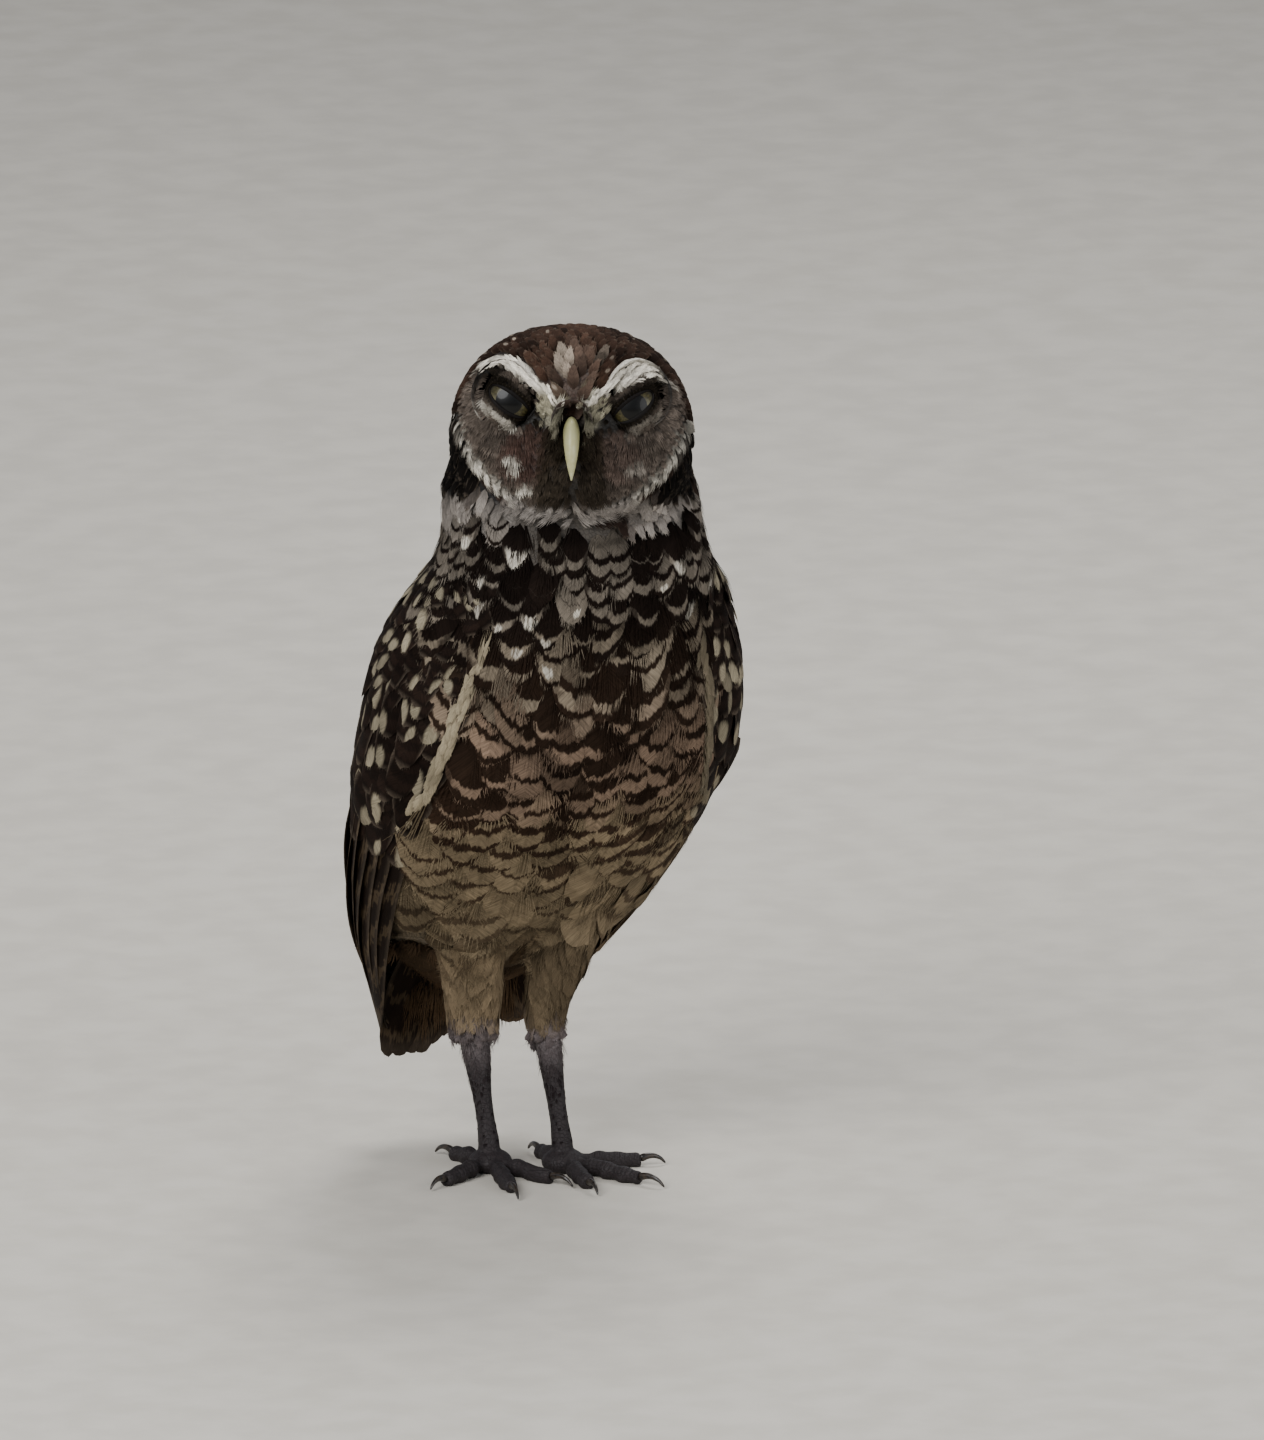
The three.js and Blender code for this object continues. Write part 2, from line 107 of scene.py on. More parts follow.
def blend(a, b, t):
    """a where t is 0 and b where it is 1, for one colour or one per feather."""
    t = np.asarray(t, float)[..., None]
    return a * (1 - t) + b * t


# The head's own frame
def node_middle(name):
    low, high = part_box(name)
    return np.array((low + high) / 2)


HEAD_TURN = np.array(Matrix.Rotation(math.radians(HEAD_YAW), 3, "Z")
                     @ Matrix.Rotation(math.radians(HEAD_PITCH), 3, "X"))
EYES_MIDDLE = (node_middle("eye_left") + node_middle("eye_right")) / 2 / MM
HEAD_MIDDLE = EYES_MIDDLE - HEAD_TURN @ np.array(EYE_IN_HEAD)


def to_head(points):
    """Points in millimetres of the model, as points of the head's frame."""
    return (points - HEAD_MIDDLE) @ HEAD_TURN


def from_head(points):
    return np.asarray(points, float) @ HEAD_TURN.T + HEAD_MIDDLE


# The face's lines
# Lines on one side of the face: distance from its middle, height from the head's middle.
BROW_LINE = [(3.8, 5.0), (5.6, 7.6), (9.0, 10.2), (11.5, 12.0), (14.0, 14.1), (16.0, 15.0), (18.5, 15.8),
             (20.5, 15.5), (24.5, 12.9)]
BROW_THICK = [(0, 0.6), (0.25, 1.0), (0.4, 1.45), (0.6, 1.4), (0.8, 0.95), (1, 0.45)]
RIM_LINE = [(30.8, 0.5), (28.6, -5.0), (25.0, -10.2), (20.8, -14.6), (16.2, -18.2), (9.0, -21.6),
            (0.0, -23.2)]


def from_line(x, z, line):
    """Distance to a line of points on either side of the face, and how far along it (0 to 1)."""
    line = np.array(line, float)
    p = np.stack([np.abs(x), z], -1)
    best = np.full(len(x), 1e9)
    where = np.zeros(len(x))
    for i in range(len(line) - 1):
        a, b = line[i], line[i + 1]
        t = np.clip(((p - a) @ (b - a)) / ((b - a) @ (b - a)), 0, 1)
        d = np.linalg.norm(p - a - t[:, None] * (b - a), axis=1)
        where = np.where(d < best, (i + t) / (len(line) - 1), where)
        best = np.minimum(best, d)
    return best, where


def blob(x, z, middle, size, turn=0.0):
    """1 inside a soft ellipse turned by some degrees, 0 outside."""
    c, s = math.cos(math.radians(turn)), math.sin(math.radians(turn))
    dx, dz = x - middle[0], z - middle[1]
    r = np.hypot((dx * c + dz * s) / size[0], (dz * c - dx * s) / size[1])
    return 1 - ramp(r, 0.75, 1.15)


def face_place(points):
    """Across, depth and height on the face, which tilts a little and is taller on the owl's right side."""
    h = to_head(points)
    z = h[:, 2] + FACE_TILT * h[:, 0]
    return h[:, 0], h[:, 1], 2 + (z - 2) / (1 + 0.08 * ramp(-h[:, 0], 2, 10))


def line_way(x, where, line):
    """The way along one of the face's lines at some places on it, from its first point on."""
    steps = np.diff(np.array(line, float), axis=0)
    index = np.clip((where * len(steps)).astype(int), 0, len(steps) - 1)
    return np.stack([np.sign(x) * steps[index, 0], 0 * x, steps[index, 1]], 1)


# Meshes
def new_object(name, mesh):
    piece = bpy.data.objects.new(name, mesh)
    bpy.context.scene.collection.objects.link(piece)
    return piece


def mesh_of(name, points, faces):
    """A smooth mesh from points in millimetres and triangles or quads."""
    mesh = bpy.data.meshes.new(name)
    mesh.from_pydata([tuple(p) for p in np.asarray(points) * MM], [],
                     [tuple(int(i) for i in f) for f in faces])
    mesh.update()
    mesh.shade_smooth()
    return mesh


def triangles(name, points, faces):
    """The same from large arrays of triangles."""
    mesh = bpy.data.meshes.new(name)
    mesh.vertices.add(len(points))
    mesh.vertices.foreach_set("co", (points * MM).astype(np.float32).ravel())
    mesh.loops.add(faces.size)
    mesh.loops.foreach_set("vertex_index", faces.astype(np.int32).ravel())
    mesh.polygons.add(len(faces))
    mesh.polygons.foreach_set("loop_start", np.arange(0, faces.size, 3, dtype=np.int32))
    mesh.update(calc_edges=True)
    mesh.shade_smooth()
    return mesh


def set_colour(mesh, name, values):
    """A colour for each vertex. Three numbers get a fourth of one."""
    values = np.asarray(values, np.float32)
    if values.shape[1] == 3:
        values = np.concatenate([values, np.ones((len(values), 1), np.float32)], axis=1)
    layer = mesh.attributes.new(name, "FLOAT_COLOR", "POINT")
    layer.data.foreach_set("color", values.ravel())


def set_uv(mesh, name, per_vertex):
    layer = mesh.uv_layers.new(name=name)
    index = fetched(mesh.loops, "vertex_index", 1, np.int32)[:, 0]
    layer.data.foreach_set("uv", np.asarray(per_vertex, np.float32)[index].ravel())


def fetched(items, key, width, kind=np.float32):
    """One property of all of a mesh's points, edges, corners or faces, a row for each."""
    values = np.empty(len(items) * width, kind)
    items.foreach_get(key, values)
    return values.reshape(-1, width)


def read_mesh(mesh):
    """Vertices in millimetres, vertex normals, edges."""
    points = fetched(mesh.vertices, "co", 3) / MM
    return points, fetched(mesh.vertices, "normal", 3), fetched(mesh.edges, "vertices", 2, np.int32)


def fused(name, nodes, grow, voxel, rounds):
    """One closed surface round some of the frame's solids, each first grown by a little."""
    bm = bmesh.new()
    for node in nodes:
        bm.from_mesh(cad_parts[node].data)
    bmesh.ops.remove_doubles(bm, verts=bm.verts, dist=1e-6)
    bm.normal_update()
    moves = [v.normal * grow * MM for v in bm.verts]
    for v, move in zip(bm.verts, moves):
        v.co += move
    mesh = bpy.data.meshes.new(name)
    bm.to_mesh(mesh)
    bm.free()
    rough = new_object(name, mesh)
    remesh = rough.modifiers.new("fuse", "REMESH")
    remesh.mode = "VOXEL"
    remesh.voxel_size = voxel * MM
    graph = bpy.context.evaluated_depsgraph_get()
    whole = bpy.data.meshes.new_from_object(rough.evaluated_get(graph))
    bpy.data.objects.remove(rough)
    points, _, edges = read_mesh(whole)
    for k in range(rounds * 2):
        points = points + (0.5 if k % 2 == 0 else -0.52) * towards_neighbours(points, edges)
    put_points(whole, points)
    return whole


def closed_faces(rings, around):
    """Faces from a first point over rings of points to a last point."""
    faces = []
    for k in range(around):
        j = (k + 1) % around
        faces.append((0, 1 + j, 1 + k))
        for r in range(rings - 1):
            a, b = 1 + r * around, 1 + (r + 1) * around
            faces.append((a + k, a + j, b + j, b + k))
        a = 1 + (rings - 1) * around
        faces.append((a + k, a + j, 1 + rings * around))
    return faces


def face_outward(mesh):
    fix = bmesh.new()
    fix.from_mesh(mesh)
    bmesh.ops.recalc_face_normals(fix, faces=fix.faces)
    fix.to_mesh(mesh)
    fix.free()


def put_points(mesh, points):
    mesh.vertices.foreach_set("co", (points * MM).astype(np.float32).ravel())
    mesh.update()


def towards_neighbours(points, edges):
    """The way from each point to the middle of the points it shares an edge with."""
    degree = np.bincount(edges.ravel(), minlength=len(points))[:, None]
    total = np.stack([
        np.bincount(edges[:, 0], points[edges[:, 1], k], len(points))
        + np.bincount(edges[:, 1], points[edges[:, 0], k], len(points)) for k in range(3)], axis=1)
    return total / degree - points


def fill_nape(mesh, rounds=60):
    """Evens out the step where the back of the head meets the neck, as the long nape feathers do."""
    points, _, edges = read_mesh(mesh)
    h = to_head(points)
    weight = ramp(h[:, 1], -6, 8) * ramp(-h[:, 2], 0, 8) * ramp(h[:, 2], -44, -34)
    for _ in range(rounds):
        points = points + 0.5 * weight[:, None] * towards_neighbours(points, edges)
    put_points(mesh, points)


def tree_of(mesh):
    return BVHTree.FromPolygons([v.co for v in mesh.vertices], [tuple(p.vertices) for p in mesh.polygons])


BODY_NODES = ["head", "neck", "trunk", "wing_coverts_left", "wing_coverts_right", "thigh_left",
              "thigh_right"]
QUILL_NODES = ["wing_flight_left", "wing_flight_right", "tail"]
LEG_NODES = [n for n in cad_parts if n.split("_")[0] in ("tarsus", "foot", "toe")]


def shape_face(mesh):
    """Raises the brows over the eyes and hollows the disc a little round them."""
    points, _, _ = read_mesh(mesh)
    x, y, z = face_place(points)
    front = ramp(-y, 6, 12)
    brow, where = from_line(x, z + 0.8, BROW_LINE)
    raised = along([(0, 0.2), (0.25, 1.0), (0.6, 1.0), (1, 0.0)], where)
    ridge = np.exp(-((brow / 2.6) ** 2)) * front * raised
    off = np.hypot(np.abs(x) - EYE_ACROSS, z - EYE_HEIGHT)
    hollow = np.exp(-(((off - 8.5) / 3.2) ** 2)) * front * (z < 11)
    push = (1.7 * ridge - 0.5 * hollow * (1 - ridge))[:, None]
    put_points(mesh, points + push * (HEAD_TURN @ np.array([0, -1.0, -0.15])))


def feather_depth(points):
    """How far the feathers' roots lie inside the owl's outline."""
    h = to_head(points)
    depth = 1.3 + 0.9 * ramp(h[:, 2], -6, 12) - 0.8 * ramp(-points[:, 2], -125, -100)
    depth = depth + 1.8 * np.exp(-(((points[:, 2] - 178) / 15) ** 2)) * ramp(-points[:, 0], 14, 24)
    eyes = np.hypot(np.abs(h[:, 0]) - EYE_ACROSS, h[:, 2] - EYE_HEIGHT)
    return np.where(h[:, 1] < -8, depth * ramp(eyes, 4, 9) + 0.9 * (1 - ramp(eyes, 4, 9)), depth)


def settle(mesh):
    """Draws the outline in by the thickness the feathers add to it."""
    points, normals, _ = read_mesh(mesh)
    put_points(mesh, points - normals * feather_depth(points)[:, None])


def leg_axis(text):
    """Middles of a shank's bottom and top."""
    at = np.array([v.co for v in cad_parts[f"tarsus_{text}"].data.vertices]) / MM
    low, high = at[:, 2].min(), at[:, 2].max()
    ends = [at[np.abs(at[:, 2] - level) < 4].mean(axis=0) for level in (low, high)]
    return np.array(ends)


def shape_legs(mesh, factors):
    """Widens or slims each leg about its own axis, by factors at some heights."""
    points, _, _ = read_mesh(mesh)
    for text, table in factors.items():
        low, high = leg_axis(text)
        share = np.clip((points[:, 2] - low[2]) / (high[2] - low[2]), 0, 1.6)[:, None]
        axis = low[:2] + (high[:2] - low[:2]) * share
        from_axis = points[:, :2] - axis
        near = (np.linalg.norm(from_axis, axis=1) < 14) & (np.sign(points[:, 0]) == np.sign(low[0]))
        factor = np.where(near & (points[:, 1] < 30), along(table, points[:, 2]), 1.0)
        points[:, :2] = axis + from_axis * factor[:, None]
    put_points(mesh, points)


outline_mesh = fused("outline", BODY_NODES + QUILL_NODES + ["eye_left", "eye_right"], 0.35, 1.1, 8)
flesh_mesh = fused("skin", BODY_NODES, 0.35, 1.1, 8)
legs_mesh = fused("skin_legs", LEG_NODES, 0.3, 0.42, 14)
shape_legs(legs_mesh, {"right": [(9, 1.0), (20, 0.84), (34, 0.84)],
                       "left": [(9, 1.0), (20, 0.84), (30, 0.74)]})
for mesh in (outline_mesh, flesh_mesh):
    fill_nape(mesh)
    shape_face(mesh)
    shape_legs(mesh, {"right": [(33, 1.35), (44, 1.3), (54, 1.0)]})
settle(outline_mesh)
outline = tree_of(outline_mesh)
TREE_NODES = BODY_NODES + QUILL_NODES + ["tarsus_left", "tarsus_right"]
node_trees = {n: tree_of(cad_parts[n].data) for n in TREE_NODES}


def nearest(points):
    """The closest points of the owl's outline, and the outline's normals there."""
    spots = np.empty((len(points), 3))
    normals = np.empty((len(points), 3))
    for i, p in enumerate(points):
        spot, normal, _, _ = outline.find_nearest(Vector(p) * MM)
        spots[i] = spot
        normals[i] = normal
    return spots / MM, normals


def node_at(points, names=None):
    """For each point, the name of the solid it is closest to."""
    found = []
    names = names or BODY_NODES + QUILL_NODES
    for p in points:
        at = Vector(p) * MM
        found.append(min(names, key=lambda n: (node_trees[n].find_nearest(at, 0.05)[3] or 1.0)))
    return np.array(found)


def round_body(heights, angles):
    """Where rays towards the body's axis, at heights and angles from the front, first meet the outline."""
    heights = np.asarray(heights, float)
    out = np.radians(np.asarray(angles, float))
    ways = np.stack([np.sin(out), -np.cos(out), 0 * out], axis=1)
    starts = np.stack([0 * heights, along(BODY_AXIS, heights), heights], axis=1)
    points = starts + ways * 20
    normals = ways.copy()
    met = np.zeros(len(points), bool)
    for i in range(len(points)):
        spot, normal, _, _ = outline.ray_cast(Vector(starts[i] + ways[i] * 90) * MM, Vector(-ways[i]), 0.09)
        if spot is not None:
            points[i] = np.array(spot) / MM
            normals[i] = normal
            met[i] = True
    return points, normals, met


# Feathers
class Vanes:
    """The pattern of one feather: points across (-1 to 1) and along (0 to 1) its vane, and its triangles."""

    def __init__(self, columns, rows, fringe, closed=False):
        self.columns, self.rows, self.fringe, self.closed = columns, rows, fringe, closed
        across = columns
        faces = []
        for r in range(rows):
            for c in range(across - 1):
                a = r * across + c
                faces += [(a, a + 1, a + across + 1), (a, a + across + 1, a + across)]
        self.sheet = across * (rows + 1)
        if closed:
            top = list(faces)
            faces += [(a + self.sheet, c + self.sheet, b + self.sheet) for a, b, c in top]
            rim = list(range(across)) + [r * across + across - 1 for r in range(1, rows + 1)]
            rim += [rows * across + c for c in range(across - 2, -1, -1)]
            rim += [r * across for r in range(rows - 1, 0, -1)]
            for k, a in enumerate(rim):
                b = rim[(k + 1) % len(rim)]
                faces += [(b, a, a + self.sheet), (b, a + self.sheet, b + self.sheet)]
        base = self.sheet * (2 if closed else 1)
        faces += [(base + 3 * k, base + 3 * k + 1, base + 3 * k + 2) for k in range(fringe)]
        self.faces = np.array(faces)
        self.count = base + 3 * fringe

    def grid(self, n, length, width, tip, ragged, barb):
        """Across, along and width share for n feathers. tip is how round the tip is, ragged how uneven."""
        u = np.linspace(-1, 1, self.columns)
        t = np.linspace(0, 1, self.rows + 1) ** 0.85
        jag = RNG.normal(0, 1, (n, self.columns)) * ragged
        end = 1 - tip * (1 - np.sqrt(np.clip(1 - (0.96 * u) ** 2, 0, 1)))[None] + jag
        v = t[None, :, None] * end[:, None, :]
        shape = (0.22 + 0.78 * ramp(t, 0, 0.42)) * (1 - 0.12 * ramp(t, 0.7, 1))
        uu = np.broadcast_to(u[None, None, :], v.shape)
        share = np.broadcast_to(shape[None, :, None], v.shape)
        parts = [np.stack([uu, v, share], -1).reshape(n, -1, 3)]
        if self.closed:
            parts.append(parts[0])
        if self.fringe:
            k = self.fringe
            at = RNG.uniform(-1, 1, (n, k))
            side = np.abs(at) > 0.8
            at = np.where(side, np.sign(at) * 0.93, at)
            margin = 1 - tip * (1 - np.sqrt(np.clip(1 - (0.96 * at) ** 2, 0, 1)))
            foot = margin - 0.05 - np.where(side, RNG.uniform(0, 0.45, (n, k)), 0.0)
            reach = barb * RNG.uniform(0.4, 1.3, (n, k))
            lean = np.where(side, np.sign(at) * 0.6, at * 0.42 + RNG.normal(0, 0.18, (n, k)))
            half = 0.5 * RNG.uniform(0.16, 0.4, (n, k)) / (width[:, None] / 2)
            tip_u = at + lean * reach / (width[:, None] / 2)
            tip_v = foot + 0.05 + reach * np.sqrt(np.clip(1 - lean**2, 0.2, 1)) / length[:, None]
            share = np.full((n, k), 0.88)
            sliver = np.stack([
                np.stack([at - half, foot, share], -1),
                np.stack([at + half, foot, share], -1),
                np.stack([tip_u, tip_v, share], -1)], axis=2)
            parts.append(sliver.reshape(n, -1, 3))
        return np.concatenate(parts, axis=1)


class Strands:
    """The pattern of a loose tuft: separate barbs that fan out of one root."""

    closed = False

    def __init__(self, strands):
        self.strands = strands
        faces = []
        for a in range(0, 5 * strands, 5):
            faces += [(a, a + 1, a + 3), (a, a + 3, a + 2), (a + 2, a + 3, a + 4)]
        self.faces = np.array(faces)
        self.count = 5 * strands

    def grid(self, n, length, width, tip, ragged, barb):
        """As for a feather's vanes. barb is the strands' half width."""
        k = self.strands
        at = np.linspace(-1, 1, k)[None] + RNG.normal(0, 0.5 / k, (n, k))
        start = RNG.uniform(0, 0.3, (n, k))
        end = 1 - tip * at**2 + RNG.normal(0, ragged, (n, k))
        middle = (start + end) / 2
        half = barb * RNG.uniform(0.7, 1.3, (n, k)) / (width[:, None] / 2)
        tip_u = at * 1.05 + RNG.normal(0, 0.12, (n, k))
        one = np.ones((n, k))
        rows = [(at * 0.45 - half, start), (at * 0.45 + half, start), (at * 0.85 - half * 0.8, middle),
                (at * 0.85 + half * 0.8, middle), (tip_u, end)]
        return np.stack([np.stack([u, v, one], -1) for u, v in rows], axis=2).reshape(n, -1, 3)


HEAD_VANE = Vanes(5, 3, 14)
BREAST_VANE = Vanes(11, 7, 44)
BREAST_TUFT = Strands(26)
BODY_VANE = Vanes(7, 4, 22)
WING_VANE = Vanes(9, 6, 24)
QUILL_VANE = Vanes(9, 20, 0, closed=True)
FACE_TUFT = Strands(9)
SOFT_TUFT = Strands(10)
LEG_TUFT = Strands(5)

coat_parts = {}


def full(n, value):
    """One value or row for each of n feathers."""
    value = np.asarray(value, float)
    if value.ndim and len(value) == n:
        return value.copy()
    return np.broadcast_to(value, (n,) + value.shape).copy()


def lay(piece, kind, spine, normals, width, look, bake, tip=0.4, ragged=0.02, barb=0.8, cup=0.14, roll=0.1,
        thick=0.0):
    """Adds feathers to a piece of the coat.

    spine has the points of each from root to tip, (n, 3 or more, 3), and normals the same.
    look holds each feather's colours and marks; bake is the place of each root on the skin's unwrap."""
    n = len(spine)
    width = full(n, width)
    length = np.linalg.norm(np.diff(spine, axis=1), axis=2).sum(1)
    u, v, share = np.moveaxis(kind.grid(n, length, width, tip, ragged, barb), 2, 0)
    knots = spine.shape[1]
    at = np.linspace(0, 1, knots)

    def on_spine(v):
        weights = np.ones(v.shape + (knots,))
        for i in range(knots):
            for j in range(knots):
                if i != j:
                    weights[..., i] *= (v - at[j]) / (at[i] - at[j])
        return np.einsum("nkp,npd->nkd", weights, spine)

    place = on_spine(v)
    forward = unit(on_spine(v + 0.02) - place)
    reach = np.clip(v, 0, 1) * (knots - 1)
    low = np.clip(reach.astype(int), 0, knots - 2)
    part = (reach - low)[..., None]
    index = np.arange(n)[:, None]
    outward = unit(normals[index, low] * (1 - part) + normals[index, low + 1] * part)
    side = unit(np.cross(forward, outward))
    up = np.cross(side, forward)
    across = u * (width[:, None] / 2) * share
    tilt = RNG.normal(0, 1, n)[:, None] * roll
    drop = -full(n, cup)[:, None] * np.abs(u) ** 1.8 * (width[:, None] / 2) + across * tilt
    place = place + side * across[..., None] + up * drop[..., None]
    if kind.closed:
        under = slice(kind.sheet, 2 * kind.sheet)
        edge = 1 - 0.75 * np.abs(u[:, under]) ** 2
        place[:, under] -= up[:, under] * (thick * edge)[..., None]
    spread = np.stack([np.clip(u, -1, 1) * 0.5, np.clip(v, 0, 1.1) - 0.5], -1) * 0.003
    data = {
        "place": place.reshape(-1, 3),
        "faces": (kind.faces[None] + (np.arange(n) * kind.count)[:, None, None]).reshape(-1, 3),
        "vane": np.stack([u * 0.5 + 0.5, v], -1).reshape(-1, 2),
        "bake": (np.asarray(bake)[:, None, :] + spread).reshape(-1, 2),
    }
    for key in MARKS:
        data[key] = np.repeat(look[key], kind.count, axis=0)
    coat_parts.setdefault(piece, []).append(data)


MARKS = ("ground", "mark", "pale", "bars", "spot", "tone")
NO_BARS = (0.3, 0.0, 0.5, 0.0)
NO_SPOT = (0.8, 0.3, 0.0, 0.45)


def look_of(n, ground, mark=None, pale=None, bars=NO_BARS, spot=NO_SPOT, spread=0.08):
    """The look of n feathers.

    bars has period, phase, dark share and strength; spot has place along, size, strength, place across."""
    tone = np.stack([RNG.normal(1, spread, n), RNG.uniform(0, 1, n), RNG.uniform(0, 1, n), np.ones(n)], 1)
    ground = full(n, ground)
    return {
        "ground": ground,
        "mark": full(n, ground if mark is None else mark),
        "pale": full(n, ground if pale is None else pale),
        "bars": full(n, bars),
        "spot": full(n, spot),
        "tone": tone,
    }


def some(look, chosen):
    return {key: values[chosen] for key, values in look.items()}


def spines_on(points, normals, ways, lengths, sink, raise_middle, raise_tip):
    """Three points and normals for each feather that lies along the owl's outline."""
    n = len(points)
    lengths = full(n, lengths)[:, None]
    middle, middle_normal = nearest(points + ways * lengths * 0.5)
    straight = points + ways * lengths
    tip, tip_normal = nearest(straight)
    away = np.linalg.norm(tip - straight, axis=1) > lengths[:, 0] * 0.6
    tip[away] = (middle * 2 - points)[away]
    tip_normal[away] = middle_normal[away]
    spine = np.stack([
        points - normals * full(n, sink)[:, None],
        middle + middle_normal * full(n, raise_middle)[:, None],
        tip + tip_normal * full(n, raise_tip)[:, None]], axis=1)
    return spine, np.stack([normals, middle_normal, tip_normal], axis=1)


def thinned(points, spacing):
    """Indices of points no closer together than the spacing, picked in a random order."""
    spacing = full(len(points), spacing)
    cell = float(spacing.max())
    cells = np.floor(points / cell).astype(int)
    near = [(a, b, c) for a in (-1, 0, 1) for b in (-1, 0, 1) for c in (-1, 0, 1)]
    taken = {}
    kept = []
    for i in RNG.permutation(len(points)):
        x, y, z = points[i]
        limit = spacing[i] ** 2
        home = cells[i]
        around = [(home[0] + a, home[1] + b, home[2] + c) for a, b, c in near]
        others = [q for cell_at in around for q in taken.get(cell_at, ())]
        if all((x - q[0]) ** 2 + (y - q[1]) ** 2 + (z - q[2]) ** 2 >= limit for q in others):
            taken.setdefault(tuple(home), []).append((x, y, z))
            kept.append(i)
    return np.array(kept)


def face_middles(mesh):
    """Middles and normals of a mesh's faces, in millimetres."""
    return fetched(mesh.polygons, "center", 3) / MM, fetched(mesh.polygons, "normal", 3).astype(float)


def tangent(ways, normals):
    return unit(ways - normals * np.sum(ways * normals, axis=1, keepdims=True))


def body_angle(points):
    """Degrees round the body from the front, positive to the owl's left."""
    return np.degrees(np.arctan2(points[:, 0], along(BODY_AXIS, points[:, 2]) - points[:, 1]))


def body_unwrap(points):
    """The roots' places on the body unrolled about its leaning axis."""
    return np.stack([0.5 + body_angle(points) / 380, 0.03 + (points[:, 2] - 20) / 205 * 0.94], 1)


def head_unwrap(points):
    """The roots' places on the head opened flat from the crown."""
    h = unit(to_head(points))
    turn = np.arctan2(h[:, 0], -h[:, 1])
    reach = np.arccos(np.clip(h[:, 2] * 0.94 + h[:, 1] * 0.34, -1, 1)) / math.pi * 0.48
    return np.stack([0.5 + reach * np.sin(turn), 0.5 - reach * np.cos(turn)], 1)


# Markings, shared by the feathers and the skin
def collar(points):
    """Shares of the black patch beside the disc, of the pale one under it and of the throat's band."""
    x, y, z = face_place(points)
    off = np.abs(x)
    rim, _ = from_line(x, z, RIM_LINE)
    below = along(sorted(RIM_LINE), off)
    outside = (z < below) | (off > 29.5)
    black = outside * ramp(rim, 0.8, 1.8) * ramp(off, 15.5, 18.5) * ramp(-z, -4, -1)
    black = black * (1 - ramp(-z, 17.5, 20)) * (1 - ramp(y, 4, 11))
    pale = outside * ramp(off, 13, 17) * ramp(-z, 17.5, 20)
    pale = pale * (1 - ramp(-z, 26.5, 30)) * (1 - ramp(y, 0, 8))
    band = (1 - ramp(np.abs(z - below + 0.8), 1.5, 2.6)) * (1 - ramp(off, 14, 19)) * (y < 0)
    return black, pale, band


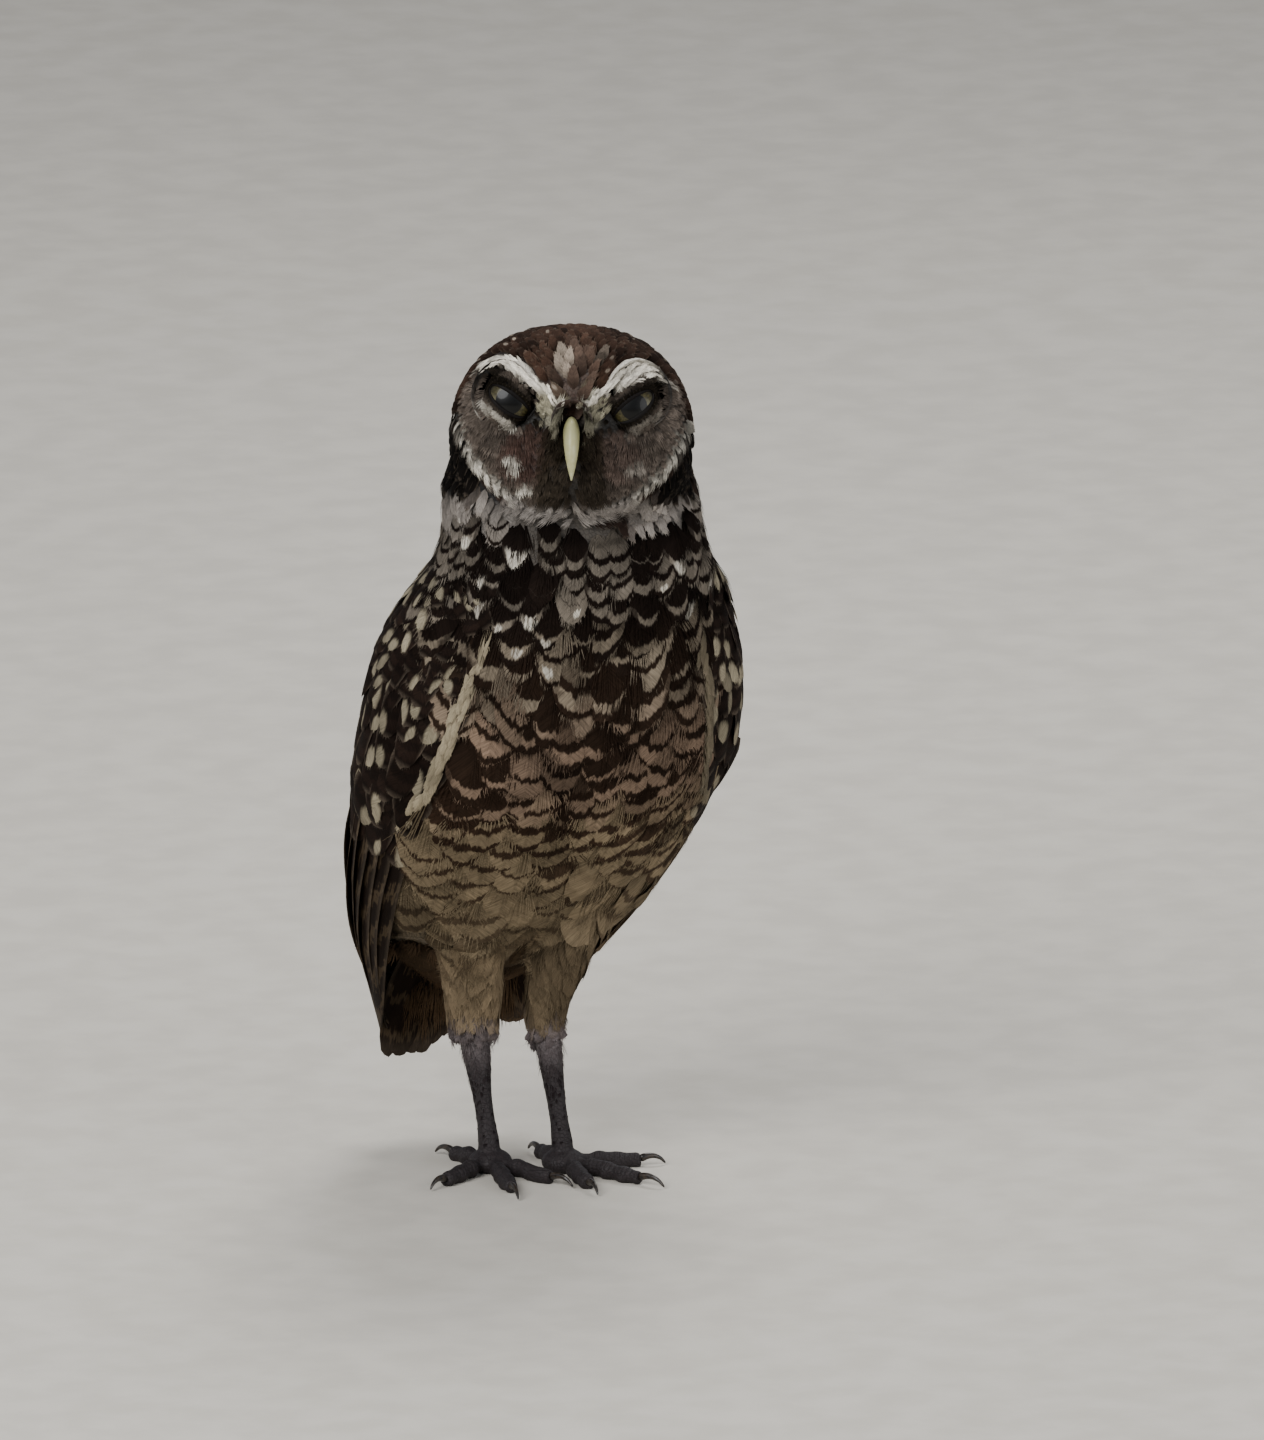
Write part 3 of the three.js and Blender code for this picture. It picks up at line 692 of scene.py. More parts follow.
def head_colours(points):
    """Ground colour, part of the head and share of black.

    The parts are 0 crown, 1 disc, 2 brow, 3 rim and throat, 4 bristles, 5 lores."""
    x, y, z = face_place(points)
    off = np.abs(x)
    wobble = 0.5 * np.sin(x * 0.9 + z * 0.5) + 0.4 * np.sin(z * 1.3 - x * 0.6)
    front = ramp(-y, 5, 10)
    colour = full(len(points), COLOURS["crown"])
    colour = blend(colour, COLOURS["crown"] * 0.55, ramp(-y, -12, 2) * ramp(off + z * 0.3, 12, 18))
    warm = COLOURS["crown"] * 1.2 + COLOURS["face"] * 0.45
    colour = blend(colour, warm, blob(x, z, (0.5, 13), (6.5, 9.5)) * (y < 0))
    colour = blend(colour, COLOURS["crown_spot"], blob(x, z, (-2.0, 18), (1.7, 3.4)) * (y < 0) * 0.9)
    colour = blend(colour, COLOURS["crown_spot"], blob(x, z, (7.5, 19.5), (2.2, 1.3)) * (y < 0) * 0.6)
    colour = blend(colour, COLOURS["chest_dark"] * 1.4, (z < -20) * (y < 4))
    colour = blend(colour, COLOURS["back"], ramp(y, 2, 10) * ramp(-z, 0, 16))
    brow, brow_at = from_line(x, z, BROW_LINE)
    rim, rim_at = from_line(x, z, RIM_LINE)
    disc = front * (z < along(BROW_LINE, off)) * (1 - ramp(off, 28.5, 30.5))
    disc = disc * (z > along(sorted(RIM_LINE), off)) * ramp(off + z * -0.35, 0.0, 1.0)
    mottle = 1 + 0.22 * np.sin(x * 0.7 + 1) * np.sin(z * 0.8 - x * 0.25) + 0.15 * np.sin(z * 1.7 + x * 1.1)
    colour = blend(colour, COLOURS["face"] * mottle[:, None], disc)
    colour = blend(colour, COLOURS["face"] * 1.7, disc * blob(x, z, (15, -9.5), (6.5, 6.0)) * 0.6)
    colour = blend(colour, COLOURS["face"] * 1.5, disc * ramp(off, 22, 27) * 0.6)
    cheek = disc * blob(off, z, (11, -7), (9, 6.5), -35) * (0.5 + 0.4 * (x < 0))
    colour = blend(colour, COLOURS["cheek"], cheek)
    # a slanting dark patch round each eye, partly the dark feathers there and partly painted shade under the
    # brow
    eye_dark_and_shade = blob(off, z, (16, 6.2), (11.0, 4.6), 38)
    colour = blend(colour, COLOURS["bristle_and_shade"] * 0.45, eye_dark_and_shade * disc)
    under_eye = 1 - ramp(np.abs(z - 0.9 - (off - 18) * 0.62), 0.6, 1.4)
    under_eye = under_eye * ramp(off, 13, 15.5) * (1 - ramp(off, 23, 25.5))
    colour = blend(colour, COLOURS["brow"] * 0.5, under_eye * disc * (0.25 + 0.6 * (x < 0)))
    # the area round the bill and down to the chin is painted dark, partly the bristles and partly painted
    # shade under the bill
    bristle_and_shade = front * (1 - ramp(off + 0.12 * z, 6.5, 9.0)) * (1 - ramp(z, 0.5, 3.0)) * ramp(z, -22, -20)
    colour = blend(colour, COLOURS["bristle_and_shade"], bristle_and_shade * 0.9)
    beside_bill = blob(off, z, (5.2, 4.9), (2.3, 5.2), 28) * front
    colour = blend(colour, COLOURS["lore"], beside_bill)
    forehead = front * (off < 3.4 + 0.55 * np.clip(z - 6, 0, 30)) * ramp(z, 3.0, 5.0) * (z > 2)
    forehead = forehead * (z > along(BROW_LINE, np.maximum(off, 3.6)) - 3.5 * (off < 4))
    colour = blend(colour, COLOURS["crown"] * 1.3, forehead * (1 - beside_bill) * (z < 10))
    spot = np.maximum(blob(x, z, (-15.5, -10.2), (3.2, 1.5), -10), blob(x, z, (-12.7, -15.8), (2.2, 1.3)))
    spot = np.maximum(spot, 0.35 * blob(x, z, (17, -11), (3, 1.6), 30))
    colour = blend(colour, COLOURS["brow"] * 0.6, spot * front)
    on_brow = (1 - ramp(brow - along(BROW_THICK, brow_at) - wobble * 0.2, -0.2, 0.7)) * ramp(-y, 8, 11)
    colour = blend(colour, COLOURS["brow"], on_brow * (1 - 0.7 * ramp(brow_at, 0.7, 1.0)))
    on_rim = (1 - ramp(rim - 0.7 - wobble * 0.2, -0.2, 0.6)) * ramp(-y, -3, 3)
    # the pale rim is greyer on the owl's left as painted shade on that side, and duller towards its lower
    # end
    rim_tone_shaded_left = (0.68 - 0.24 * (x > 0)) * (1 - 0.35 * ramp(rim_at, 0.62, 0.8))
    colour = blend(colour, COLOURS["brow"] * rim_tone_shaded_left[:, None], on_rim)
    black, pale, band = collar(points)
    colour = blend(colour, COLOURS["throat"], np.maximum(pale, band))
    colour = blend(colour, COLOURS["collar_black"], black)
    part = np.where(disc > 0.5, 1, 0)
    part = np.where(bristle_and_shade > 0.5, 4, part)
    part = np.where(beside_bill > 0.5, 5, part)
    part = np.where(on_brow > 0.5, 2, part)
    part = np.where((on_rim > 0.5) | (band > 0.5), 3, part)
    return colour, part, black


def body_marks(points):
    """Ground, mark, dark share and strength of the bars, and nearness to the front, on the body."""
    angle, height = body_angle(points), points[:, 2]
    n = len(points)
    front = 1 - ramp(np.abs(angle), 98, 122)
    pale = blend(full(n, COLOURS["belly_pale"]), COLOURS["breast_warm"], ramp(height, 96, 110))
    pale = blend(pale, COLOURS["breast_pale"], ramp(height, 126, 142))
    pale = blend(pale, COLOURS["chest_pale"], ramp(height, 150, 166))
    # below 50 to 60 mm the ground turns to the vent's colour, painted shade between the legs
    pale = blend(pale, COLOURS["vent"], 1 - ramp(height, 50, 60))
    dark = blend(full(n, COLOURS["belly_dark"]), COLOURS["breast_dark"], ramp(height, 90, 120))
    dark = blend(dark, COLOURS["chest_dark"], ramp(height, 140, 160))
    duty = along([(60, 0.25), (80, 0.33), (100, 0.42), (125, 0.5), (150, 0.52), (165, 0.48), (190, 0.46)],
                 height)
    strength = along([(52, 0.0), (60, 0.5), (75, 0.85), (100, 1.0)], height)
    # two folds of the breast read as dark lines, painted shade in their creases, and above them lie a blot
    # of painted shade and a pale patch
    turned = np.radians(angle + 20)
    crease_shade = np.exp(-((height - 155 - 5.5 * (1 - np.exp(-(((angle + 20) / 26) ** 2)))) / 2.8) ** 2) * 0.6
    crease_shade += np.exp(-((height - 187 - 2 * np.cos(turned)) / 2.2) ** 2) * 0.3
    crease_shade += np.exp(-((height - 172 - 3 * np.sin(turned)) / 2.0) ** 2) * 0.6 * ramp(angle, -10, 5)
    shade_blot = blob(angle, height, (-43.5, 171.0), (16, 5.5))
    patch = blob(angle, height, (-18.5, 163.5), (6.5, 6.5))
    patchy = np.sin(angle * 0.16 + 2.1) * np.sin(height * 0.23 + 0.7)
    patchy = patchy + 0.7 * np.sin(angle * 0.29 - height * 0.31)
    duty = duty + 0.5 * crease_shade + 0.6 * shade_blot + 0.09 * patchy * (height < 165)
    duty = duty * (1 - 0.9 * patch * (1 - shade_blot))
    black, light, _ = collar(points)
    ground = blend(pale, COLOURS["throat"], light)
    duty = duty * (1 - light) * (1 - 0.55 * (1 - front))
    ground = blend(blend(ground, COLOURS["back"], 1 - front), COLOURS["collar_black"], black)
    dark = blend(blend(dark, COLOURS["wing_dark"], 1 - front), COLOURS["collar_black"], black)
    return ground, dark, np.clip(duty, 0, 1.2), strength * (1 - 0.5 * (1 - front)), front


# The body's contour feathers
ROW_PITCH = [(46, 3.0), (60, 6.5), (80, 8.4), (105, 7.6), (125, 6.8), (155, 6.6), (170, 6.2), (185, 4.6),
             (204, 3.4)]


def body_rows():
    """Roots in rows round the body, each shifted half a step from the last."""
    heights, angles, row = [], [], 0
    height = 204.0
    while height > 46:
        girth = along([(46, 130), (60, 190), (90, 270), (130, 290), (160, 255), (180, 215), (203, 190)],
                      height)
        step = along([(46, 4.5), (64, 10), (80, 13), (100, 12), (150, 11), (174, 9.5), (186, 7.2),
                      (204, 4.6)], height)
        count = int(girth / step)
        turns = (np.arange(count) + 0.5 * (row % 2)) / count * 360 - 180
        turns = turns + RNG.normal(0, 360 / count * 0.16, count)
        angles.append(turns)
        wave = 1.5 * np.sin(np.radians(turns * 2.3 + row * 17))
        wave = wave + 0.8 * np.sin(np.radians(turns * 5.1 - row * 23))
        heights.append(height + wave + RNG.normal(0, step * 0.05, count))
        height -= along(ROW_PITCH, height)
        row += 1
    return np.concatenate(heights), np.concatenate(angles)


# white spots of the chest: degrees round, height, size against the feather's
WHITE_SPOTS = [(-49, 177, 0.62), (-40, 165, 0.4), (-67, 173, 0.6), (-75, 180, 0.5), (-60, 163, 0.44),
               (38, 172, 0.44), (44, 160, 0.44)]


def lay_body():
    heights, angles = body_rows()
    points, normals, met = round_body(heights, angles)
    where = node_at(points)
    over_wing = (-angles < along(WING_FRONT_RIGHT, heights) + 1) & (angles < -20)
    over_wing = over_wing & (heights > 97) & (heights < 160)
    over_quills = (angles > 35) & (angles < 84) & (heights > 50) & (heights < 108)
    under_chin = (to_head(points)[:, 2] < -25) & (where == "head")
    keep = met & (np.isin(where, ["trunk", "neck"]) | over_wing | over_quills | under_chin)
    points, normals = points[keep], normals[keep]
    angle, height = body_angle(points), points[:, 2]
    n = len(points)
    lean = -(along(BODY_AXIS, height + 4) - along(BODY_AXIS, height - 4)) / 8
    parting = np.sin(np.radians(angle)) * along([(50, -0.4), (90, -0.15), (150, 0.1), (190, 0.2)], height)
    flow = unit(np.stack([0 * height, lean, -np.ones(n)], 1)) + np.stack([parting, 0 * lean, 0 * lean], 1)
    ways = tangent(flow + RNG.normal(0, 0.05, (n, 3)), normals)
    size = along([(48, 12), (60, 18), (80, 25), (120, 24), (160, 22), (174, 18), (186, 12.5), (203, 9)],
                 height)
    size = size * RNG.normal(1, 0.06, n)
    width = size * along([(48, 0.5), (80, 0.76), (150, 0.7), (203, 0.58)], height) * RNG.normal(1, 0.08, n)
    rise = 0.3 + 0.4 * RNG.random(n) + 0.5 * (1 - ramp(height, 60, 90))
    rise = rise + 1.0 * ramp(angle, 40, 60) * (1 - ramp(height, 85, 108))
    spine, spine_normals = spines_on(points, normals, ways, size, 1.2, 0.35 * rise, rise)
    # marks are worked out where the feather shows
    shown = spine[:, 2] * 0.7 + spine[:, 1] * 0.3
    ground, mark, duty, strength, front = body_marks(shown)
    back = 1 - front
    period = np.where(back > 0.5, 0.6, along(ROW_PITCH, height) * 1.04 / size)
    barred = RNG.random(n) < along([(60, 0.6), (85, 0.85), (110, 1.0)], height)
    strength = strength * np.where(barred, 1, 0.2)
    duty = duty * np.exp(RNG.normal(0, 0.25, n) * (1 - ramp(duty, 0.7, 1.0)))
    bars = np.stack([period, 1.0 - period * 0.5 + RNG.normal(0, 0.03, n), duty, strength], 1)
    spotted = back * (RNG.random(n) < 0.55)
    flecked = (height > 165) & (front > 0.5) & (RNG.random(n) < 0.1)
    spot = np.stack([full(n, 0.86), full(n, 0.2), np.where(flecked, 0.9, 0.85 * spotted),
                     RNG.uniform(-0.3, 0.3, n)], 1)
    for turned, high, share in WHITE_SPOTS:
        k = np.argmin(((body_angle(shown) - turned) * 0.7) ** 2 + (shown[:, 2] - high) ** 2)
        spot[k] = (0.84, share, 0.95, 0.0)
    pale = blend(full(n, COLOURS["back_spot"]), COLOURS["brow"] * 0.6, front)
    look = look_of(n, ground, mark, pale, bars, spot, 0.17)
    bake = body_unwrap(points)
    upper = height > 122
    for name, chosen in (("coat_back", np.abs(angle) > 112), ("coat_breast", (np.abs(angle) <= 112) & upper),
                         ("coat_belly", (np.abs(angle) <= 112) & ~upper)):
        lay(name, BREAST_VANE, spine[chosen], spine_normals[chosen], width[chosen], some(look, chosen),
            bake[chosen], tip=0.4, ragged=0.016, barb=2.0, cup=0.2, roll=0.08)
        if name != "coat_back":
            loose = spine[chosen] + spine_normals[chosen] * np.array([0.0, 0.35, 0.3])[:, None]
            loose_look = some(look, chosen)
            loose_look["spot"] = loose_look["spot"] * np.array([1, 1, 0, 1])
            lay(name, BREAST_TUFT, loose, spine_normals[chosen], width[chosen] * 1.05, loose_look,
                bake[chosen], tip=0.36, ragged=0.06, barb=0.17, cup=0.2, roll=0.12)


lay_body()

# The head's feathers
OUTLINE_POINTS, OUTLINE_NORMALS = face_middles(outline_mesh)
EYE_RADIUS = 7.5
IRIS_RADIUS = 5.9
CORNEA = 0.6  # how far the cornea stands out of the ball
OPENING_HALF = 6.5  # half length of the lids' opening
UPPER_HALF = 1.7  # how far it opens above its long axis, and below
LOWER_HALF = 2.1
eye_profile = [(0, -EYE_RADIUS)]
for k in range(1, 17):
    a = math.radians(-90 + k * 8)
    eye_profile.append((EYE_RADIUS * math.cos(a), EYE_RADIUS * math.sin(a)))
for k in range(12):
    t = (k + 1) / 13 * math.pi / 2
    eye_profile.append((IRIS_RADIUS * math.cos(t), 4.75 + (EYE_RADIUS + CORNEA - 4.75) * math.sin(t)))
eye_profile.append((0, EYE_RADIUS + CORNEA))


def on_lid(turns, off, lift):
    """Points over the right-hand ball in its own frame, some way out from the edge of the lids' opening."""
    slant = math.radians(LID_SLANT)
    c, s = np.cos(turns), np.sin(turns)
    half = np.where(s > 0, UPPER_HALF, LOWER_HALF) * (1 - 0.12 * c * c)
    step = off * (1 - 0.62 * c * c) / np.hypot(c / OPENING_HALF, s / 3.4)
    a = OPENING_HALF * c + step * c / OPENING_HALF
    b = half * s + step * s / 3.4
    x, z = a * math.cos(slant) - b * math.sin(slant), a * math.sin(slant) + b * math.cos(slant)
    way = np.hypot(x, z)
    ball = np.array(eye_profile)[::-1]
    radius = np.interp(way / EYE_RADIUS, np.arctan2(ball[:, 0], ball[:, 1]),
                       np.hypot(ball[:, 0], ball[:, 1])) + lift
    around = radius * np.sin(way / EYE_RADIUS) / way
    return np.stack([around * x, -radius * np.cos(way / EYE_RADIUS), around * z], 1)


def in_socket(points, side):
    """Points of an eye's own frame, as points of the model."""
    outward = np.array(Matrix.Rotation(math.radians(side * 5), 3, "Z"))
    height = EYE_HEIGHT - FACE_TILT * side * EYE_ACROSS
    middle = np.array([side * (EYE_ACROSS - 0.4), EYE_IN_HEAD[1] + 1.5, height])
    return from_head(points @ outward.T + middle)


def lay_lids():
    """Short tufts that grow on the lids, out from the edge of their opening."""
    for side in (1, -1):
        mirror = np.array([side, 1, 1])
        for off, count, size in ((0.5, 50, 1.3), (1.5, 46, 2.0), (2.6, 46, 2.6), (3.8, 50, 3.4),
                                 (4.8, 54, 4.2)):
            turns = (np.arange(count) + RNG.uniform(-0.3, 0.3, count)) / count * 2 * math.pi
            points = in_socket(on_lid(turns, off, 0.2) * mirror, side)
            middles = in_socket(on_lid(turns, off + size * 0.5, 0.75) * mirror, side)
            tips = in_socket(on_lid(turns, off + size, 0.9 - 0.12 * off) * mirror, side)
            edge, edge_normals = nearest(tips)
            tips = blend(tips, edge + edge_normals * 0.5, ramp(off + size, 3, 5.5))
            middles = blend(middles, (points + tips) * 0.5 + edge_normals * 0.3, ramp(off + size, 3, 5.5))
            normals = unit(in_socket(on_lid(turns, off, 2.0) * mirror, side) - points)
            colour, _, _ = head_colours(middles)
            spine = np.stack([points, middles, tips], 1)
            look = look_of(count, colour, colour, colour, spread=0.12)
            lay("coat_face", FACE_TUFT, spine, np.repeat(normals[:, None], 3, 1),
                np.full(count, 0.9 + 0.34 * off), look, head_unwrap(points), tip=0.3, ragged=0.07, barb=0.13,
                cup=0.1)


def eye_place(points):
    """Places in the nearer eye's own frame: along its slanting length (outwards) and across it."""
    x, y, z = face_place(points)
    a = math.radians(LID_SLANT)
    dx, dz = np.abs(x) - EYE_ACROSS, z - EYE_HEIGHT
    return dx * math.cos(a) + dz * math.sin(a), dz * math.cos(a) - dx * math.sin(a), y


def lay_head():
    inside = (np.linalg.norm(to_head(OUTLINE_POINTS), axis=1) < 44) & (to_head(OUTLINE_POINTS)[:, 2] > -28)
    points, normals = OUTLINE_POINTS[inside], OUTLINE_NORMALS[inside]
    keep = node_at(points, ["head", "neck", "trunk"]) == "head"
    points, normals = points[keep], normals[keep]
    a, b, y = eye_place(points)
    open_eye = (np.hypot(a / 7.0, b / 3.9) < 1) & (y < 0)
    h = to_head(points)
    bill = (np.abs(h[:, 0]) < 2.2) & (h[:, 1] < -10) & (h[:, 2] < 2.6) & (h[:, 2] > -9.5)
    points, normals = points[~open_eye & ~bill], normals[~open_eye & ~bill]
    _, part, _ = head_colours(points)
    kept = thinned(points, np.select([(part == 2) | (part == 3), part > 0], [1.05, 1.35], 1.85))
    points, normals = points[kept], normals[kept]
    colour, part, _ = head_colours(points)
    h = to_head(points)
    n = len(points)
    x, y, z = face_place(points)
    side = np.sign(x)
    zero = np.zeros(n)
    from_eye = np.stack([x - side * EYE_ACROSS, zero, z - EYE_HEIGHT], 1)
    hanging = ramp(h[:, 1], -8, 14)[:, None]
    flow = unit(h - np.array([0.0, -30.0, 4.0])) + np.array([0.0, 0.0, -1.0]) * hanging
    flow = np.where((part == 1)[:, None], unit(from_eye) + np.array([0, 0.1, -0.35]), flow)
    _, brow_at = from_line(x, z, BROW_LINE)
    _, rim_at = from_line(x, z, RIM_LINE)
    along_brow = unit(line_way(x, brow_at, BROW_LINE)) + np.array([0, 0, 0.12])
    flow = np.where((part == 2)[:, None], along_brow, flow)
    at_throat = (rim_at > 0.7)[:, None]
    along_rim = unit(line_way(x, rim_at, RIM_LINE)) + np.stack([side * 0.3, zero, zero - 0.1], 1)
    along_rim = np.where(at_throat, np.stack([side * 0.9, zero, -0.7 + zero], 1), along_rim)
    flow = np.where((part == 3)[:, None], along_rim, flow)
    flow = np.where((part == 4)[:, None], np.stack([side * 0.4, zero - 0.3, -1 + zero], 1), flow)
    flow = np.where((part == 5)[:, None], np.stack([side * 0.5, zero, 1 + zero], 1), flow)
    outer = (part == 0) & (h[:, 2] < -6)
    flow = np.where(outer[:, None], np.stack([side * 0.1, 0.35 + zero, -1 + zero], 1), flow)
    ways = tangent((unit(flow) + RNG.normal(0, 0.08, (n, 3))) @ HEAD_TURN.T, normals)
    size = np.select([part == 1, part == 2, part == 3, part == 4, part == 5], [5.0, 6.2, 4.6, 4.6, 4.6], 6.4)
    size = size * RNG.normal(1, 0.1, n) + (part == 0) * 4.5 * ramp(h[:, 1], -2, 20)
    size = np.where(part == 1, np.minimum(size, 2.2 + 0.45 * np.linalg.norm(from_eye, axis=1)), size)
    # a feather of the brow or the disc whose end would leave it is a short one
    _, end_part, _ = head_colours(points + ways * size[:, None] * 0.9)
    size = np.where(((part == 2) | (part == 1)) & (end_part != part), size * 0.5, size)
    shown, _, black = head_colours(points + ways * size[:, None] * 0.6)
    colour = np.where((part == 2)[:, None] | (part == 5)[:, None], colour, shown)
    width = size * np.select([part == 1, part == 2, part > 2], [0.5, 0.27, 0.36], 0.46)
    rise = np.select([part == 2, part == 3], [0.75, 0.6], 0.35) + 0.25 * RNG.random(n)
    spine, spine_normals = spines_on(points, normals, ways, size, 0.9, 0.3 * rise, rise)
    # crown spots are few and long, more on the forehead
    fore = ramp(-h[:, 1], 4, 18) * (h[:, 2] > 8)
    spotted = (part == 0) & (black < 0.5) & (h[:, 2] > -8) & (RNG.random(n) < 0.2 - 0.13 * fore)
    look = look_of(n, colour, colour * 0.5, COLOURS["crown_spot"], spread=0.16)
    look["tone"][:, 0] = np.where(part == 0, np.clip(RNG.normal(1, 0.3, n), 0.4, 1.9), look["tone"][:, 0])
    look["bars"] = np.stack([full(n, 0.5), full(n, 0.2), full(n, 0.4), np.where(part == 1, 0.5, 0.0)], 1)
    spot_strength = np.where(spotted, 0.55 + 0.3 * RNG.random(n), 0.0)
    look["spot"] = np.stack([full(n, 0.8), full(n, 0.3), spot_strength, zero], 1)
    bake = head_unwrap(points)
    soft = (part == 1) | (part >= 3)
    lay("coat_face", FACE_TUFT, spine[soft], spine_normals[soft], width[soft] * 1.2, some(look, soft),
        bake[soft], tip=0.3, ragged=0.07, barb=0.15, cup=0.1, roll=0.1)
    brow = part == 2
    lay("coat_face", HEAD_VANE, spine[brow], spine_normals[brow], width[brow], some(look, brow), bake[brow],
        tip=0.8, ragged=0.04, barb=0.7, cup=0.1, roll=0.08)
    crown = part == 0
    lay("coat_crown", HEAD_VANE, spine[crown], spine_normals[crown], width[crown], some(look, crown),
        bake[crown], tip=0.5, ragged=0.035, barb=0.9, cup=0.14, roll=0.1)
    # the bristles that hide the root of the bill
    count = 170
    turn = RNG.uniform(-1, 1, count)
    side = np.sign(turn)
    level = 3.8 - 9.5 * RNG.random(count)
    place = np.stack([turn * 3.6 + side * 0.9, -25.5 + np.abs(turn) * 1.6, level], 1)
    flow = np.stack([side * 0.25, -0.75 + 0 * turn, -0.8 + 0 * turn], 1)
    flow = flow + RNG.normal(0, 0.12, (count, 3))
    points, normals = nearest(from_head(place))
    ways = unit(flow) @ HEAD_TURN.T
    steps = RNG.uniform(3.2, 5.2, count)[:, None]
    spine = np.stack([points - ways * 0.8, points + ways * steps * 0.5 + normals * 0.5,
                      points + ways * steps], 1)
    colour = blend(full(count, COLOURS["bristle_and_shade"]), COLOURS["lore"], (place[:, 2] > 0.5) * 0.5)
    lay("coat_face", FACE_TUFT, spine, np.repeat(normals[:, None], 3, 1), np.full(count, 1.8),
        look_of(count, colour, colour, colour), head_unwrap(points), tip=0.2, ragged=0.08, barb=0.11)


lay_head()
lay_lids()


# Thighs, vent and legs
def lay_soft(piece, points, normals, flow, size, colour, kind=SOFT_TUFT, share=0.42, barb=0.2, rise=0.4):
    n = len(points)
    ways = tangent(flow + RNG.normal(0, 0.08, (n, 3)), normals)
    size = size * RNG.normal(1, 0.1, n)
    height = rise * (0.6 + 0.8 * RNG.random(n))
    spine, spine_normals = spines_on(points, normals, ways, size, 0.7, 0.3 * height, height)
    look = look_of(n, colour, colour * 0.65, colour, spread=0.1)
    lay(piece, kind, spine, spine_normals, size * share, look, body_unwrap(points), tip=0.45, ragged=0.06,
        barb=barb, cup=0.12, roll=0.12)


def lay_legs():
    low = np.where((OUTLINE_POINTS[:, 2] < 74) & (OUTLINE_POINTS[:, 1] < 60))[0]
    names = node_at(OUTLINE_POINTS[low])
    for text in ("left", "right"):
        mine = low[names == f"thigh_{text}"]
        for kind, spacing, share in ((BODY_VANE, 2.6, 0.42), (SOFT_TUFT, 2.1, 0.45)):
            kept = mine[thinned(OUTLINE_POINTS[mine], spacing)]
            points, normals = OUTLINE_POINTS[kept], OUTLINE_NORMALS[kept]
            size = along([(32, 7.0), (45, 9), (60, 12)], points[:, 2])
            shown = points[:, 2] - size * 0.6
            # the owl's left thigh gets the same tan at 0.62, painted shade on the side away from the light
            thigh_tan_shaded_left = COLOURS["thigh"] * (0.62 if text == "left" else 1.0)
            ground = blend(full(len(points), COLOURS["leg"]), thigh_tan_shaded_left, ramp(shown, 33, 42))
            flow = np.tile(np.array([0, 0.1, -1.0]), (len(points), 1))
            lay_soft(f"coat_thigh_{text}", points, normals, flow, size, ground, kind, share,
                     barb=1.2 if kind is BODY_VANE else 0.2)
    vent = low[np.isin(names, ["trunk", "tail"])]
    height = OUTLINE_POINTS[vent, 2]
    vent = vent[(OUTLINE_NORMALS[vent, 2] < -0.2) & (height < 62) & (height > 35)]
    kept = vent[thinned(OUTLINE_POINTS[vent], 2.6)]
    points, normals = OUTLINE_POINTS[kept], OUTLINE_NORMALS[kept]
    flow = np.tile(np.array([0, 0.55, -1.0]), (len(points), 1))
    size = along([(28, 8), (45, 13), (60, 14)], points[:, 2])
    # the vent's feathers take its colour, the undertail's buff darkened as painted shade
    lay_soft("coat_vent", points, normals, flow, size, full(len(points), COLOURS["vent"]), rise=1.2)
    leg_points, leg_normals = face_middles(legs_mesh)
    for text in ("left", "right"):
        middle = node_middle(f"tarsus_{text}") / MM
        side = np.sign(middle[0])
        near = np.where((leg_points[:, 2] > 6) & (np.sign(leg_points[:, 0]) == side))[0]
        kept = near[thinned(leg_points[near], along([(6, 2.3), (20, 1.7), (36, 1.3)], leg_points[near, 2]))]
        points, normals = leg_points[kept], leg_normals[kept]
        n = len(points)
        ways = tangent(np.array([0, 0, -1.0]) + RNG.normal(0, 0.12, (n, 3)), normals)
        size = along([(6, 1.8), (20, 2.6), (34, 4.5), (40, 5.0)], points[:, 2]) * RNG.normal(1, 0.12, n)
        # the shanks darken towards the feet, painted shadow under the body
        ground = blend(full(n, COLOURS["leg_low"]), COLOURS["leg"], ramp(points[:, 2], 24, 38))
        spine = np.stack([points - normals * 0.3, points + ways * size[:, None] * 0.5 + normals * 0.05,
                          points + ways * size[:, None] + normals * 0.1], 1)
        lay(f"coat_leg_{text}", LEG_TUFT, spine, np.repeat(normals[:, None], 3, 1), size * 0.5,
            look_of(n, ground, ground, ground), body_unwrap(points), tip=0.3, ragged=0.08, barb=0.12)


lay_legs()


# Wings
def on_wing(side, height, share):
    """Points of the folded wing at heights and shares of the way from its leading to its dorsal edge."""
    height = np.asarray(height, float)
    front = along(WING_FRONT if side > 0 else WING_FRONT_RIGHT, height)
    back = along(WING_BACK, height)
    return round_body(height, side * (front + (back - front) * share))


